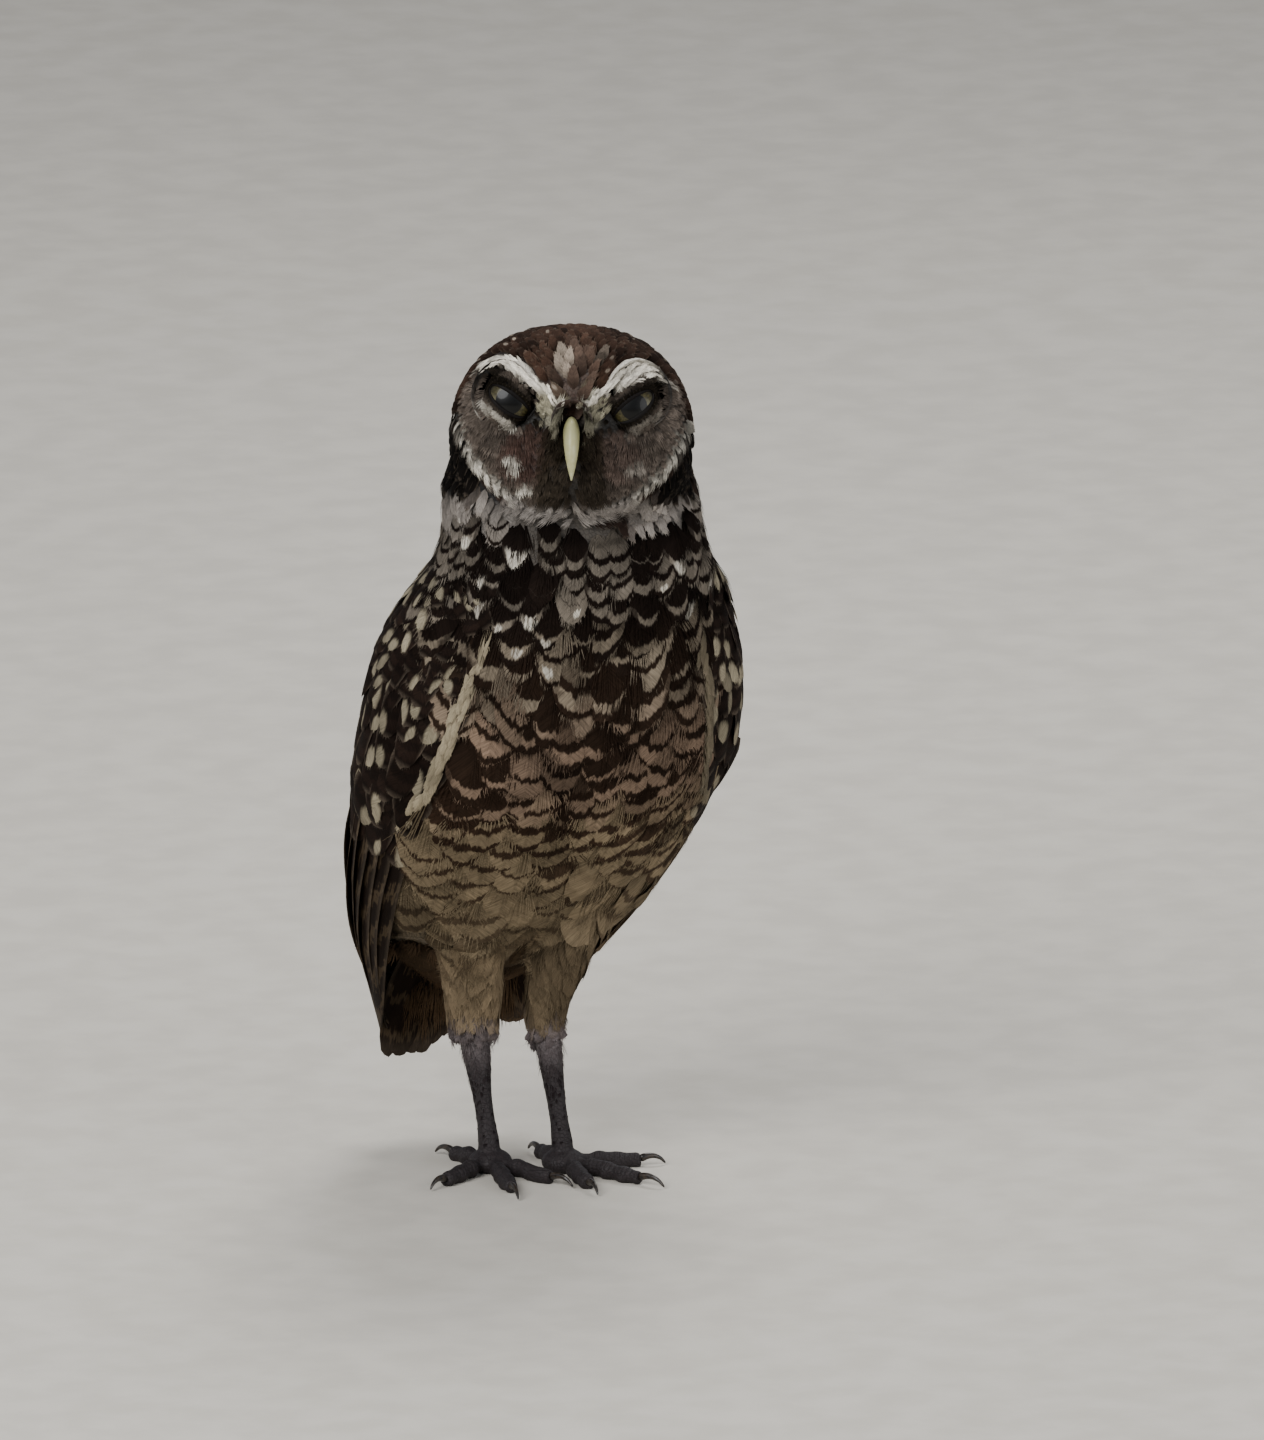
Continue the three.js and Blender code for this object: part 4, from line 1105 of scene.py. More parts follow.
def lay_coverts(side, text):
    piece = f"coat_wing_{text}"
    heights, shares, lengths, widths = [], [], [], []
    height, row = 172.0, 0
    while height > 106:
        girth = along([(106, 84), (130, 90), (150, 84), (171, 40)], height)
        step = along([(106, 8.0), (130, 6.4), (150, 5.0), (171, 3.8)], height)
        count = max(4, int(girth / step))
        share = (np.arange(count) + 0.25 + 0.5 * (row % 2)) / count
        shares.append(share + RNG.normal(0, 0.1 / count, count))
        heights.append(height + 2.5 * np.sin(np.linspace(0, 3, count) + row) + RNG.normal(0, 0.4, count))
        lengths.append(np.full(count, along([(106, 27), (125, 22), (140, 16), (155, 12), (171, 9)], height)))
        widths.append(np.full(count, step * 1.6))
        height -= along([(106, 8.0), (130, 6.2), (150, 4.4), (171, 3.2)], height)
        row += 1
    heights, shares = np.concatenate(heights), np.clip(np.concatenate(shares), 0.03, 1.0)
    lengths, widths = np.concatenate(lengths), np.concatenate(widths)
    points, normals, _ = on_wing(side, heights, shares)
    ahead, _, _ = on_wing(side, heights - 5, shares)
    ways = tangent(unit(ahead - points) + RNG.normal(0, 0.05, points.shape), normals)
    n = len(points)
    lengths = lengths * RNG.normal(1, 0.07, n)
    rise = 0.5 + 0.35 * RNG.random(n)
    spine, spine_normals = spines_on(points, normals, ways, lengths, 0.9, 0.5 * rise, rise)
    spot_size = 3.1 / widths * RNG.uniform(0.7, 1.3, n)
    spot_strength = np.where(RNG.random(n) < 0.55, 0.95, 0.0)
    spot_side = RNG.choice([-1, 1], n) * RNG.uniform(0.2, 0.5, n)
    spots = np.stack([full(n, 0.85), spot_size, spot_strength, spot_side], 1)
    bars = np.stack([full(n, 0.34), full(n, 0.42), full(n, 0.5), full(n, 0.55)], 1)
    look = look_of(n, COLOURS["wing"], COLOURS["wing_dark"], COLOURS["wing_spot"], bars, spots, 0.13)
    lay(piece, WING_VANE, spine, spine_normals, widths, look, body_unwrap(points), tip=0.55, ragged=0.012,
        barb=0.9, cup=0.16, roll=0.08)
    # the pale feathers along the leading edge
    count = 30
    heights = np.linspace(163 if side < 0 else 157, 110, count) + RNG.normal(0, 0.5, count)
    shares = np.where(np.arange(count) % 2 == 0, 0.005, 0.02) + 0.1 * (1 - ramp(heights, 104, 116))
    points, normals, _ = on_wing(side, heights, shares)
    ahead, _, _ = on_wing(side, heights - 4, shares)
    ways = tangent(unit(ahead - points) + RNG.normal(0, 0.03, points.shape), normals)
    spine, spine_normals = spines_on(points, normals, ways, np.full(count, 10.5), 0.5, 0.7, 1.2)
    # on the owl's left the pale edge is blended well towards the wing's dark, painted shade on the side away
    # from the light
    edge = blend(COLOURS["wing_edge"], COLOURS["wing"], 0.0 if side < 0 else 0.58)
    look = look_of(count, edge, COLOURS["wing"], edge, spread=0.07)
    lay(piece, BODY_VANE, spine, spine_normals, np.full(count, 2.6), look, body_unwrap(points), tip=0.6,
        ragged=0.03, barb=0.8, cup=0.25, roll=0.06)


def lay_quills(side, text):
    n = 17
    spines, outs, widths = [], [], []
    for i in range(n):
        t = i / (n - 1)
        reach = np.linspace(0, 1, 5)
        end = along([(0, 29), (0.12, 27), (0.3, 33), (0.5, 44), (0.75, 58), (1, 74)], t)
        heights = 122 + (end - 122) * reach
        start_share = 0.07 + 0.88 * t
        end_share = along([(0, 0.22), (0.12, 0.42), (0.3, 0.62), (0.55, 0.84), (1, 1.06)], t)
        shares = start_share + (end_share - start_share) * reach**1.7
        points, normals, met = on_wing(side, heights, shares)
        for k in range(1, 5):
            if not met[k]:
                points[k] = 2 * points[k - 1] - points[k - 2]
                normals[k] = normals[k - 1]
        points[1:-1] = (points[:-2] + 2 * points[1:-1] + points[2:]) / 4
        normals = unit(normals + unit(normals.mean(0))[None])
        out = np.array([-0.6, 0.2, 1.1, 1.8, 2.2]) * (1.0 if side < 0 else 0.7) + 0.08 * i
        spines.append(points + normals * out[:, None])
        outs.append(normals)
        widths.append(9.5 + 4.5 * min(1.0, 3 * t))
    spines = np.array(spines)
    bars = np.stack([full(n, 0.15), RNG.uniform(0.3, 0.5, n), full(n, 0.3), full(n, 0.9)], 1)
    # the first quills on the owl's left take the vent's colour, which holds painted shade
    ground = blend(full(n, COLOURS["quill"]), COLOURS["vent"], (side > 0) * (1 - ramp(np.arange(n), 2, 5)))
    look = look_of(n, ground, COLOURS["tail_bar"], spread=0.08, bars=bars)
    lay(f"coat_quills_{text}", QUILL_VANE, spines, np.array(outs), np.array(widths), look,
        body_unwrap(spines[:, 2]), tip=0.25, ragged=0.006, cup=0.1, roll=0.03, thick=0.5)


for side, text in ((1, "left"), (-1, "right")):
    lay_coverts(side, text)
    lay_quills(side, text)


# Tail
def lay_tail():
    n = 12
    spines, outs = [], []
    for i in range(n):
        s = (i - 5.5) / 5.5
        level = 1.0 - 0.28 * abs(i - 5.5)
        across = np.array([4.0, 9.5, 14.0, 17.0, 18.8]) * s + np.array([0, -0.4, -0.8, -1.0, -1.2])
        back = np.array([38, 44.5, 50.3, 53.4, 55.0]) + level - 1.5 * s * s
        end = 21.5 + RNG.uniform(-0.8, 0.8) + 6.5 * float(ramp(s, -0.6, 0.4))
        heights = 72 + (end - 72) * np.array([0, 0.24, 0.5, 0.74, 1.0])
        spines.append(np.stack([across, back, heights], 1))
        outs.append(unit(np.stack([np.full(5, 0.22 * s), np.full(5, 1.0), np.full(5, 0.32)], 1)))
    bars = np.stack([full(n, 0.2), full(n, 0.4), full(n, 0.24), full(n, 0.9)], 1)
    look = look_of(n, COLOURS["tail"], COLOURS["tail_bar"], spread=0.08, bars=bars)
    lay("coat_tail", QUILL_VANE, np.array(spines), np.array(outs), np.full(n, 12.5), look,
        np.stack([0.08 + np.arange(n) / 13, full(n, 0.5)], 1), tip=0.3, ragged=0.006, cup=0.06,
        roll=0.02, thick=0.5)


lay_tail()


# Materials
class Value:
    """What a socket gives, so that a material's sums are written as ordinary ones."""

    def __init__(self, shader, socket):
        self.shader = shader
        self.socket = socket

    def __add__(self, other):
        return self.shader.math("ADD", self, other)

    def __sub__(self, other):
        return self.shader.math("SUBTRACT", self, other)

    def __rsub__(self, other):
        return self.shader.math("SUBTRACT", other, self)

    def __mul__(self, other):
        return self.shader.math("MULTIPLY", self, other)

    def __truediv__(self, other):
        return self.shader.math("DIVIDE", self, other)

    def __abs__(self):
        return self.shader.math("ABSOLUTE", self)


class Shader:
    """A material's node tree, with short ways to add to it."""

    def __init__(self, name):
        self.material = bpy.data.materials.new(name)
        self.material.use_nodes = True
        self.tree = self.material.node_tree
        self.tree.nodes.clear()
        self.out = self.tree.nodes.new("ShaderNodeOutputMaterial")
        self.surface = self.tree.nodes.new("ShaderNodeBsdfPrincipled")
        self.tree.links.new(self.surface.outputs["BSDF"], self.out.inputs["Surface"])

    def put(self, socket, value):
        if isinstance(value, Value):
            self.tree.links.new(value.socket, socket)
        elif hasattr(value, "__len__"):
            socket.default_value = (*[float(x) for x in value], 1.0)
        else:
            socket.default_value = value

    def add(self, kind, output, inputs, **settings):
        """A node with some inputs, as pairs of a name or number and a value, and one of its outputs."""
        node = self.tree.nodes.new(kind)
        for key, setting in settings.items():
            setattr(node, key, setting)
        for key, value in inputs:
            self.put(node.inputs[key], value)
        return Value(self, node.outputs[output])

    def math(self, operation, *values):
        return self.add("ShaderNodeMath", 0, enumerate(values), operation=operation)

    def smooth(self, value, low, high, start=0.0, end=1.0):
        keys = ("Value", "From Min", "From Max", "To Min", "To Max")
        inputs = zip(keys, (value, low, high, start, end))
        return self.add("ShaderNodeMapRange", "Result", inputs, interpolation_type="SMOOTHSTEP")

    def mix(self, share, a, b, blend_type="MIX"):
        inputs = (("Factor", share), (6, a), (7, b))
        return self.add("ShaderNodeMix", 2, inputs, data_type="RGBA", blend_type=blend_type)

    def shaded(self, colour, level):
        """A colour, lighter or darker by a level."""
        return self.mix(1.0, colour, self.join(level, level, level), "MULTIPLY")

    def attribute(self, name, output="Vector"):
        return self.add("ShaderNodeAttribute", output, (), attribute_name=name)

    def split(self, vector):
        first = self.add("ShaderNodeSeparateXYZ", 0, ((0, vector),))
        return [Value(self, socket) for socket in first.socket.node.outputs]

    def join(self, x, y, z):
        return self.add("ShaderNodeCombineXYZ", 0, enumerate((x, y, z)))

    def noise(self, vector, scale, detail=2.0, rough=0.5):
        inputs = (("Vector", vector), ("Scale", scale), ("Detail", detail), ("Roughness", rough))
        return self.add("ShaderNodeTexNoise", "Fac", inputs)

    def uv(self, name):
        return self.add("ShaderNodeUVMap", 0, (), uv_map=name)

    def place(self):
        return self.add("ShaderNodeTexCoord", "Object", ())

    def bump(self, height, strength, distance):
        inputs = (("Strength", strength), ("Distance", distance), ("Height", height))
        self.put(self.surface.inputs["Normal"], self.add("ShaderNodeBump", 0, inputs))

    def finish(self, colour, roughness, **constants):
        self.put(self.surface.inputs["Base Color"], colour)
        self.put(self.surface.inputs["Roughness"], roughness)
        for name, value in constants.items():
            self.surface.inputs[name.replace("_", " ")].default_value = value
        return self.material


def plumage(name, barb_scale, gloss, bars_bend, root_down_and_shade, edge, broken=0.0, spot_tall=0.62):
    """Feathers with their own colours and marks, fine barbs, a shaft and a darker root, partly grey down and
    partly painted shade where the next feathers overlap.
    """
    s = Shader(name)
    across, v, _ = s.split(s.uv("vane"))
    u = (across - 0.5) * 2.0
    off = abs(u)
    place = s.place()
    own_level, own_seed, _ = s.split(s.attribute("tone"))
    period, phase, duty = s.split(s.attribute("bars"))
    strength = s.attribute("bars", "Alpha")
    spot_at, spot_size, spot_on = s.split(s.attribute("spot"))
    spot_side = s.attribute("spot", "Alpha")
    seed = own_seed * 37.0
    slant = v * barb_scale - off * (barb_scale * 0.35)
    barbs = s.noise(s.join(slant, u * 1.6, seed), 1.0, 3.0, 0.7)
    streaks = s.noise(s.join(u * 9.0, v * 2.0, seed), 1.0, 2.0) - 0.5
    wander = s.noise(place, 380.0, 1.0) - 0.5
    line = v + off * off * bars_bend + wander * 0.1 + streaks * 0.16
    turns = (line - phase) / period
    far = abs(s.math("FRACT", turns) - 0.5) * 2.0
    in_bar = s.smooth(far, duty - 0.14, duty + 0.14, 1.0, 0.0)
    side_dark = s.smooth(off + wander * 0.9, 0.55, 0.82) * s.smooth(duty, 0.3, 0.5, 0.0, broken)
    in_bar = s.math("MAXIMUM", in_bar, side_dark)
    # above its last pale band a breast feather is dark, and a belly feather pale above its one dark arc
    if broken:
        dark_kind = s.smooth(duty, 0.38, 0.46)
        in_bar = s.math("MAXIMUM", in_bar, dark_kind * s.smooth(turns, -0.6, -0.5, 1.0, 0.0))
        pale_above = (1.0 - dark_kind) * s.smooth(turns, -0.85, -0.7, 1.0, 0.0)
        in_bar = in_bar * (1.0 - pale_above)
    colour = s.mix(in_bar * strength, s.attribute("ground", "Color"), s.attribute("mark", "Color"))
    rim = s.math("MAXIMUM", s.smooth(off, 0.7, 1.0), s.smooth(v, 0.86, 1.02))
    colour = s.mix(rim * edge, colour, s.mix(0.3, colour, (0.3, 0.24, 0.18)))
    du = (u - spot_side) / (spot_size * 1.25)
    dv = (line - spot_at) / (spot_size * spot_tall)
    ring = s.math("SQRT", du * du + dv * dv)
    in_spot = s.smooth(ring, 0.65, 1.15, 1.0, 0.0) * spot_on
    colour = s.mix(in_spot, colour, s.attribute("pale", "Color"))
    shaft = s.smooth(off, 0.02, 0.07, 0.3, 0.0)
    colour = s.mix(shaft, colour, s.mix(0.5, colour, (0.012, 0.009, 0.007)))
    shade = s.smooth(barbs, 0.25, 0.75, 0.62, 1.34)
    broad = s.smooth(s.noise(place, 90.0, 3.0), 0.3, 0.7, 0.82, 1.18)
    # the root is darker, partly grey down and partly painted shade where the next feathers overlap it
    root = s.smooth(v, 0.15, 0.72, root_down_and_shade, 1.0)
    colour = s.shaded(colour, shade * broad * (own_level * root))
    s.bump(barbs, 0.4, 0.0003)
    rough = s.smooth(barbs, 0.2, 0.8, gloss - 0.08, gloss + 0.08)
    return s.finish(colour, rough, Specular_IOR_Level=0.03)


body_plumage = plumage("body_plumage", 42.0, 0.85, 0.3, 0.5, 0.0, 0.85, 0.34)
head_plumage = plumage("head_plumage", 14.0, 0.86, 0.1, 0.55, 0.3)
wing_plumage = plumage("wing_plumage", 44.0, 0.72, 0.12, 0.6, 0.6, 0.0, 0.7)
quill_plumage = plumage("quill_plumage", 150.0, 0.62, 0.1, 0.85, 0.5)


def join_coat(name):
    """One mesh of all the feathers laid for a piece of the coat."""
    parts = coat_parts[name]
    starts = np.cumsum([0] + [len(p["place"]) for p in parts[:-1]])
    faces = np.concatenate([p["faces"] + s for p, s in zip(parts, starts)])
    mesh = triangles(name, np.concatenate([p["place"] for p in parts]), faces)
    for key in MARKS:
        set_colour(mesh, key, np.concatenate([p[key] for p in parts]))
    set_uv(mesh, "OFBake", np.concatenate([p["bake"] for p in parts]))
    set_uv(mesh, "vane", np.concatenate([p["vane"] for p in parts]))
    piece = new_object(name, mesh)
    print(name, len(faces), "triangles")
    return piece


FINISHES = {"crown": head_plumage, "face": head_plumage, "wing": wing_plumage, "quills": quill_plumage,
            "tail": quill_plumage}
for name in list(coat_parts):
    piece = join_coat(name)
    area = name.split("_")[1]
    piece.data.materials.append(FINISHES.get(area, body_plumage))
    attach(piece, "root")
    if area == "quills":
        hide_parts("wing_flight_" + name.split("_")[2])
    if area == "tail":
        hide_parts("tail")

# Skin
points, normals, _ = read_mesh(flesh_mesh)
h = to_head(points)
depth = np.full(len(points), SKIN_DEPTH["body"])
is_head = (np.linalg.norm(h, axis=1) < 37) & (h[:, 2] > -22)
depth = np.where(is_head, SKIN_DEPTH["head"], depth)
depth = np.where(is_head & (h[:, 1] < -12), SKIN_DEPTH["face"], depth)
depth = np.where(points[:, 2] < 62, SKIN_DEPTH["thigh"], depth)
depth = np.maximum(depth, np.where(points[:, 2] > 66, feather_depth(points) + UNDER_ROOTS, 0))
put_points(flesh_mesh, points - normals * depth[:, None])
ground, mark, duty, strength, _ = body_marks(points)
colour = blend(ground, mark, np.clip(duty, 0, 1) * strength)
under_wing = (node_at(points) != "trunk") * (points[:, 2] < 172) * (points[:, 2] > 66)
colour = blend(colour, COLOURS["wing"], under_wing)
colour = blend(colour, COLOURS["thigh"], 1 - ramp(points[:, 2], 46, 66))
colour = np.where(is_head[:, None], head_colours(points)[0], colour)
set_colour(flesh_mesh, "skin_colour", colour * 0.7)

leg_points, leg_normals, leg_edges = read_mesh(legs_mesh)
for _ in range(5):
    leg_points = leg_points + 0.5 * towards_neighbours(leg_points, leg_edges)
out_from_foot = np.full(len(leg_points), 1e9)
for text in ("left", "right"):
    gap = np.hypot(*(leg_points - node_middle(f"foot_{text}") / MM)[:, :2].T)
    out_from_foot = np.minimum(out_from_foot, gap)
on_toe = ramp(out_from_foot, 5.5, 7.5) * (1 - ramp(leg_points[:, 2], 7, 9))
pads = np.cos((out_from_foot - 9.2) * 2 * math.pi / 5.4) * (0.16 + 0.14 * (leg_normals[:, 2] < 0))
leg_points = leg_points + leg_normals * (pads * on_toe)[:, None]
leg_points[:, 2] = np.maximum(leg_points[:, 2], 0.02)
put_points(legs_mesh, leg_points)
scutes = np.stack([np.where(on_toe > 0.3, out_from_foot, leg_points[:, 2]) / 1.35 % 1000,
                   np.maximum(on_toe * ramp(leg_normals[:, 2], 0, 0.5), 0.0), 0 * on_toe], 1)
set_colour(legs_mesh, "scutes", scutes)
set_colour(flesh_mesh, "scutes", np.zeros((len(points), 3)))
# the shanks darken towards the feet, painted shadow under the body
leg_colour = blend(full(len(leg_points), COLOURS["leg_low"]), COLOURS["leg"], ramp(leg_points[:, 2], 24, 38))
set_colour(legs_mesh, "skin_colour", leg_colour)

join = bmesh.new()
join.from_mesh(flesh_mesh)
join.from_mesh(legs_mesh)
skin_mesh = bpy.data.meshes.new("skin")
join.to_mesh(skin_mesh)
join.free()
skin_mesh.shade_smooth()
skin = new_object("skin", skin_mesh)
GRAIN = 900.0  # scales of the bare skin in a metre
s = Shader("skin")
place = s.place()
fine = s.noise(place, GRAIN, 3.0)
grains = (("Vector", place), ("Scale", GRAIN))
cells = s.add("ShaderNodeTexVoronoi", "Distance", grains, feature="DISTANCE_TO_EDGE")
crack = s.smooth(cells, 0.0, 0.12)
level = s.smooth(fine, 0.25, 0.75, 0.8, 1.15) * s.smooth(crack, 0.0, 1.0, 0.72, 1.05)
skin_colour = s.shaded(s.attribute("skin_colour", "Color"), level)
ring, on_ring, _ = s.split(s.attribute("scutes"))
groove = s.smooth(abs(s.math("FRACT", ring) - 0.5), 0.3, 0.5) * on_ring
skin_colour = s.mix(groove * 0.6, skin_colour, (0.008, 0.006, 0.006))
s.bump(crack + fine * 0.4 - groove * 1.5, 0.5, 0.0003)
skin_mesh.materials.append(s.finish(skin_colour, s.smooth(fine, 0.2, 0.8, 0.55, 0.75),
                                    Specular_IOR_Level=0.3))
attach(skin, "root")
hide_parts(*BODY_NODES, *LEG_NODES)


# Eyes
def lathe(profile, segments):
    """Rings about -Y through (radius, forward) pairs that start and end on the axis."""
    points = [(0, -profile[0][1], 0)]
    for radius, forward in profile[1:-1]:
        for k in range(segments):
            a = 2 * math.pi * k / segments
            points.append((radius * math.cos(a), -forward, radius * math.sin(a)))
    points.append((0, -profile[-1][1], 0))
    return np.array(points, float), closed_faces(len(profile) - 2, segments)


s = Shader("eye")
out, turn, painted_lit_crescent = s.split(s.attribute("eye_ring"))
streak = s.noise(s.join(turn * 9.0, out * 2.0, 0.0), 4.0, 3.0)
# the iris is a dull olive-yellow darkened by painted shade from the brow, with a painted lit crescent on its
# lower outer side
iris = s.mix(s.smooth(streak, 0.3, 0.7), linear(0x242012), linear(0x403B23))
iris = s.mix(painted_lit_crescent * 0.75, iris, linear(0x77725A))
iris = s.mix(s.smooth(out, 0.8, 1.02), iris, linear(0x18160C))
colour = s.mix(s.smooth(out, 0.58, 0.62), linear(0x020202), iris)
colour = s.mix(s.smooth(out, 1.0, 1.08), colour, linear(0x0C0A09))
eye_material = s.finish(colour, 0.35, Specular_IOR_Level=0.15, Coat_Weight=0.22, Coat_Roughness=0.02)
s = Shader("eyelid")
grain = s.noise(s.place(), 1500.0, 3.0)
colour = s.mix(s.smooth(grain, 0.3, 0.7), linear(0x070505), linear(0x110D0B))
s.bump(grain, 0.4, 0.0002)
lid_material = s.finish(colour, s.smooth(grain, 0.2, 0.8, 0.5, 0.7), Specular_IOR_Level=0.1)


def eyelid(name, side):
    """A dark lid round one eye, a closed band over the ball with a slanting opening."""
    around = 48
    rings = [(-0.1, -0.6), (-0.05, 0.12), (0.25, 0.38), (0.8, 0.4), (2.0, 0.2), (3.6, 0.0), (5.0, -0.5),
             (6.2, -1.6), (3.6, -1.7), (1.2, -1.5)]
    turns = np.arange(around) / around * 2 * math.pi
    points = np.concatenate([on_lid(turns, off, lift) for off, lift in rings])
    faces = []
    for r in range(len(rings)):
        for k in range(around):
            j, q = (k + 1) % around, (r + 1) % len(rings)
            faces.append((r * around + k, r * around + j, q * around + j, q * around + k))
    mesh = mesh_of(name, in_socket(points * np.array([side, 1, 1]), side), faces)
    face_outward(mesh)
    mesh.materials.append(lid_material)
    return new_object(name, mesh)


for side, text in ((1, "left"), (-1, "right")):
    points, faces = lathe(eye_profile, 48)
    radius = np.hypot(points[:, 0], points[:, 2])
    out = np.where(points[:, 1] < 0, radius / IRIS_RADIUS, 2.0)
    turn = np.arctan2(points[:, 2], points[:, 0]) / (2 * math.pi) + 0.5
    mesh = mesh_of(f"eyeball_{text}", in_socket(points, side), faces)
    # the lower outer side of each iris is marked for a painted lit crescent
    painted_lit_crescent = ramp((side * points[:, 0] * 0.8 - points[:, 2] * 0.6) / np.maximum(radius, 0.1), 0.35, 0.95)
    set_colour(mesh, "eye_ring", np.stack([out, np.abs(turn * 2 - 1), painted_lit_crescent], 1))
    piece = new_object(f"eyeball_{text}", mesh)
    mesh.materials.append(eye_material)
    lid = eyelid(f"eyelid_{text}", side)
    for part in (piece, lid):
        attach(part, "root")
    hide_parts(f"eye_{text}")

# Bill
s = Shader("horn_bill")
place = s.place()
_, v, _ = s.split(s.uv("vane"))
grain = s.noise(place, 700.0, 4.0)
colour = s.mix(s.smooth(v, 0.1, 0.95), linear(0x85835C), linear(0xABA983))
colour = s.mix(s.smooth(grain, 0.35, 0.7), colour, linear(0x9B986C))
colour = s.mix(s.smooth(v, 0.0, 0.22, 0.8, 0.0), colour, linear(0x4E4A36))
s.bump(grain, 0.2, 0.0002)
bill_material = s.finish(colour, s.smooth(grain, 0.2, 0.8, 0.32, 0.5), Specular_IOR_Level=0.5)


def horn(name, top, bottom, widths, around=28, along_count=36, pit=None):
    """A closed body between a top and a bottom line of the head's middle plane, with half widths between."""
    t = np.linspace(0, 1, len(top))
    fine = np.linspace(0, 1, along_count)
    lines = []
    for line in (top, bottom):
        line = np.array(line, float)
        line = np.stack([np.interp(fine, t, line[:, k]) for k in range(2)], 1)
        for _ in range(5):
            line[1:-1] = (line[:-2] + 2 * line[1:-1] + line[2:]) / 4
        lines.append(line)
    high, low = lines
    wide = np.interp(fine, t, widths)
    points, uv = [(0, *(high[0] + low[0]) / 2)], [(0.5, 0)]
    for i in range(along_count):
        for k in range(around):
            a = 2 * math.pi * k / around
            share = (1 - math.cos(a)) / 2
            spot = high[i] + (low[i] - high[i]) * share
            x = wide[i] * math.sin(a) * (0.72 + 0.28 * share)
            points.append((x, spot[0], spot[1]))
            uv.append((k / around, fine[i]))
    points.append((0, *(high[-1] + low[-1]) / 2))
    uv.append((0.5, 1))
    points = np.array(points)
    if pit is not None:
        near = np.exp(-(np.hypot(points[:, 1] - pit[0], points[:, 2] - pit[1]) / 0.75) ** 2)
        points[:, 0] *= 1 - 0.4 * near
    mesh = mesh_of(name, from_head(points), closed_faces(along_count, around))
    set_uv(mesh, "vane", uv)
    face_outward(mesh)
    return new_object(name, mesh)


upper = horn("bill_upper",
             [(-22.5, 3.0), (-26.6, 3.4), (-29.6, 2.2), (-31.4, -0.8), (-32.3, -4.6), (-32.1, -8.8),
              (-31.0, -12.9)],
             [(-22.5, -4.0), (-25.2, -4.6), (-27.2, -5.4), (-28.8, -6.4), (-29.6, -8.0), (-30.1, -10.3),
              (-30.7, -13.1)],
             [2.5, 2.5, 2.4, 2.25, 1.85, 1.2, 0.2], pit=(-27.6, 0.9))
lower = horn("bill_lower", [(-22.0, -3.8), (-25.4, -4.6), (-27.6, -5.6), (-29.4, -8.6)],
             [(-22.0, -6.6), (-25.2, -7.8), (-27.4, -8.9), (-29.3, -9.6)], [2.2, 2.2, 1.8, 0.4], 20, 20)
for piece, node in ((upper, "beak_upper"), (lower, "beak_lower")):
    piece.data.materials.append(bill_material)
    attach(piece, "root")
    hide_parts(node)

# Claws
s = Shader("horn_claw")
place = s.place()
grain = s.noise(place, 1200.0, 3.0)
colour = s.mix(s.smooth(grain, 0.3, 0.75), COLOURS["claw"], linear(0x33291F))
s.bump(grain, 0.25, 0.0002)
claw_material = s.finish(colour, s.smooth(grain, 0.2, 0.8, 0.25, 0.42), Specular_IOR_Level=0.5)
for node in sorted(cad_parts):
    if not node.startswith("claw_"):
        continue
    bm = bmesh.new()
    bm.from_mesh(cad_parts[node].data)
    bmesh.ops.remove_doubles(bm, verts=bm.verts, dist=1e-6)
    mesh = bpy.data.meshes.new(node.replace("claw", "talon"))
    bm.to_mesh(mesh)
    bm.free()
    mesh.shade_smooth()
    mesh.materials.append(claw_material)
    piece = new_object(mesh.name, mesh)
    rounded = piece.modifiers.new("rounded", "SUBSURF")
    rounded.levels = 2
    rounded.render_levels = 2
    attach(piece, "root")
    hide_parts(node)

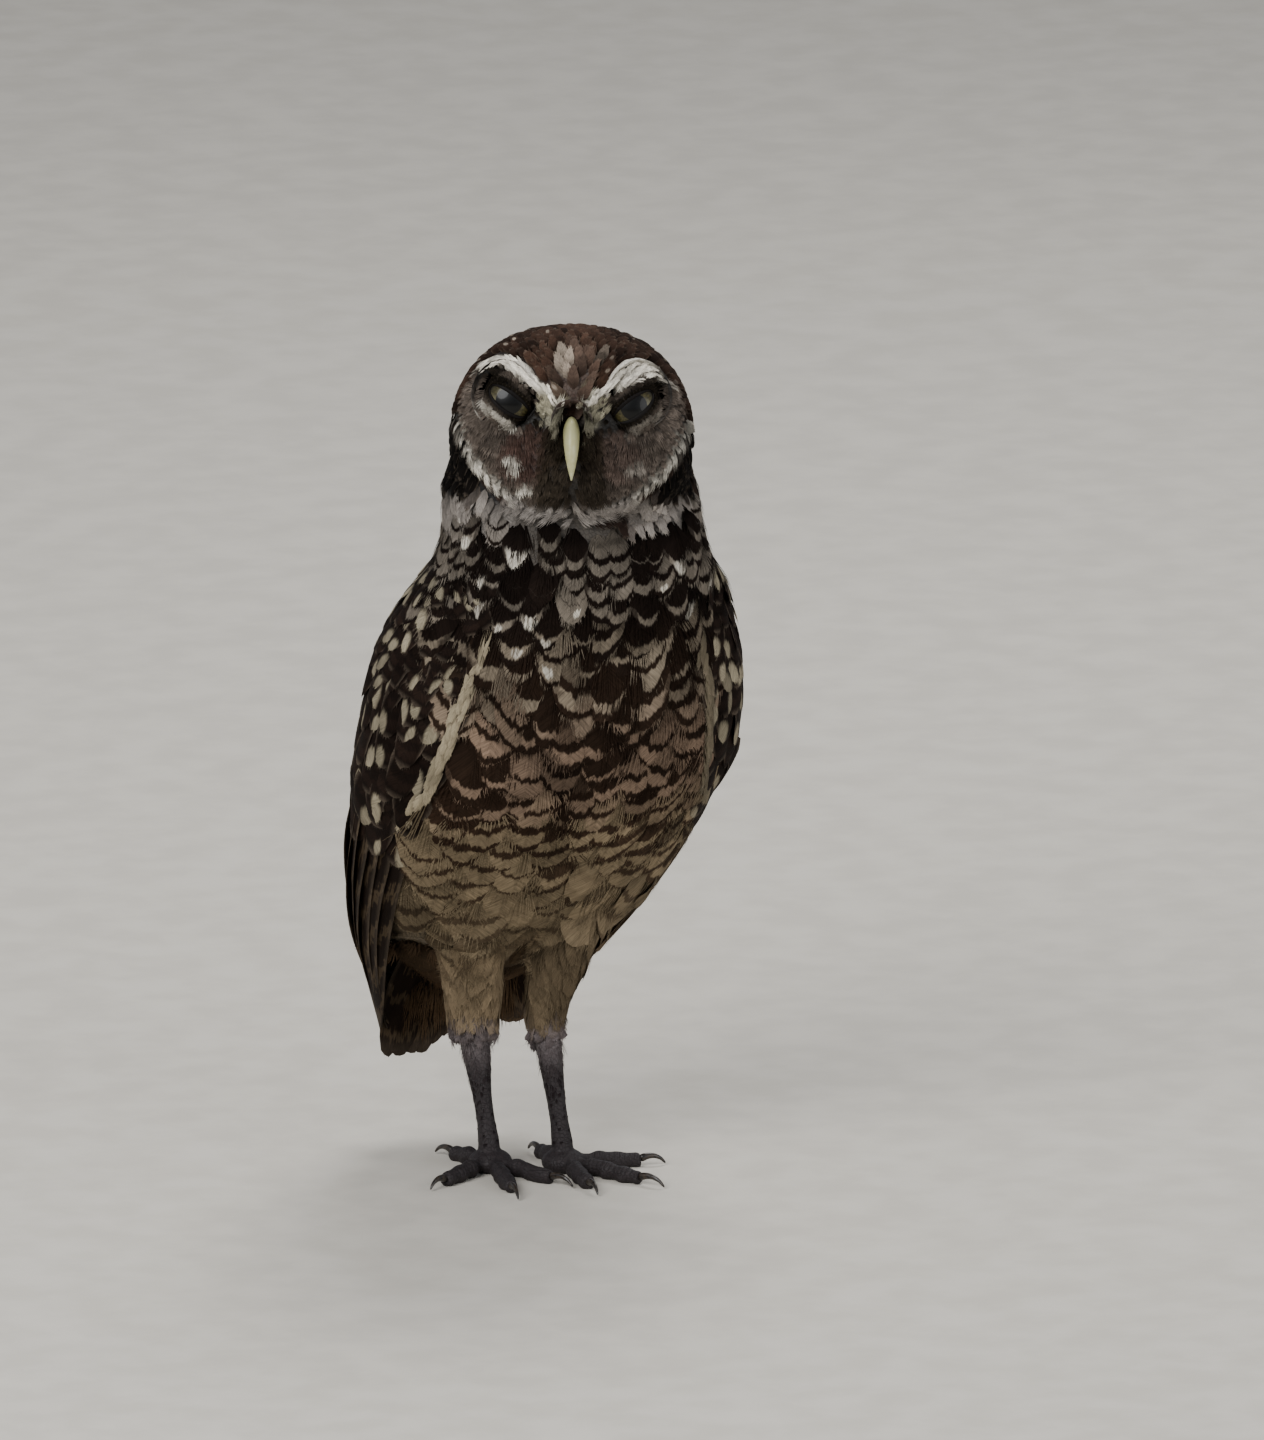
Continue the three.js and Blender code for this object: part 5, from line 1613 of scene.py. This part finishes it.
# Stage
FLOOR_REACH = 9000
corners = [(x * FLOOR_REACH, y * FLOOR_REACH, 0) for x, y in ((-1, -1), (1, -1), (1, 1), (-1, 1))]
floor_mesh = mesh_of("floor", corners, [(0, 1, 2, 3)])
floor = new_object("floor", floor_mesh)
s = Shader("floor")
grain = s.noise(s.place(), 60.0, 4.0)
colour = s.mix(s.smooth(grain, 0.3, 0.7), linear(0xBDB8AE), linear(0xC6C1B7))
floor_mesh.materials.append(s.finish(colour, 0.9, Specular_IOR_Level=0.1))


def lamp(name, place, size, power, aim=(0, 0, 120)):
    data = bpy.data.lights.new(name, "AREA")
    data.shape = "DISK"
    data.size = size
    data.energy = power
    light = new_object(name, data)
    light.location = Vector(place) * MM
    light.rotation_euler = (Vector(aim) * MM - light.location).to_track_quat("-Z", "Y").to_euler()


turn = math.radians(CAMERA_TURN)
rise = math.radians(CAMERA_RISE)
back = Vector((math.sin(turn) * math.cos(rise), -math.cos(turn) * math.cos(rise), math.sin(rise)))
right = Vector((math.cos(turn), math.sin(turn), 0))
up = back.cross(right)
ahead = Vector((back.x, back.y, 0)).normalized()
lamp("key", right * -700 + ahead * 1000 + Vector((0, 0, 900)), 1.0, 22)
lamp("fill", right * 1000 + ahead * 800 + Vector((0, 0, 350)), 1.1, 8)
lamp("top", right * 200 + ahead * -700 + Vector((0, 0, 1200)), 0.7, 12)
world = bpy.data.worlds.new("studio")
world.use_nodes = True
world.node_tree.nodes["Background"].inputs["Color"].default_value = (0.9, 0.93, 1.0, 1.0)
world.node_tree.nodes["Background"].inputs["Strength"].default_value = 0.45
bpy.context.scene.world = world

# Camera
PIXELS_PER_MM = 3.8
PHOTO = (1264, 1440)
FEET_IN_PHOTO = (527, 1170)
DISTANCE = 9000.0
feet = Vector((node_middle("foot_left") + node_middle("foot_right")) / 2 / MM)
feet.z = 0
sight = feet + right * ((PHOTO[0] / 2 - FEET_IN_PHOTO[0]) / PIXELS_PER_MM)
sight += up * ((FEET_IN_PHOTO[1] - PHOTO[1] / 2) / PIXELS_PER_MM)
camera_data = bpy.data.cameras.new("camera")
camera_data.sensor_width = 36
camera_data.lens = 36 * DISTANCE / (PHOTO[1] / PIXELS_PER_MM)
camera_data.clip_start = 0.1
camera_data.clip_end = 100
camera = new_object("camera", camera_data)
camera.location = (sight + back * DISTANCE) * MM
camera.rotation_euler = back.to_track_quat("Z", "Y").to_euler()
bpy.context.scene.camera = camera
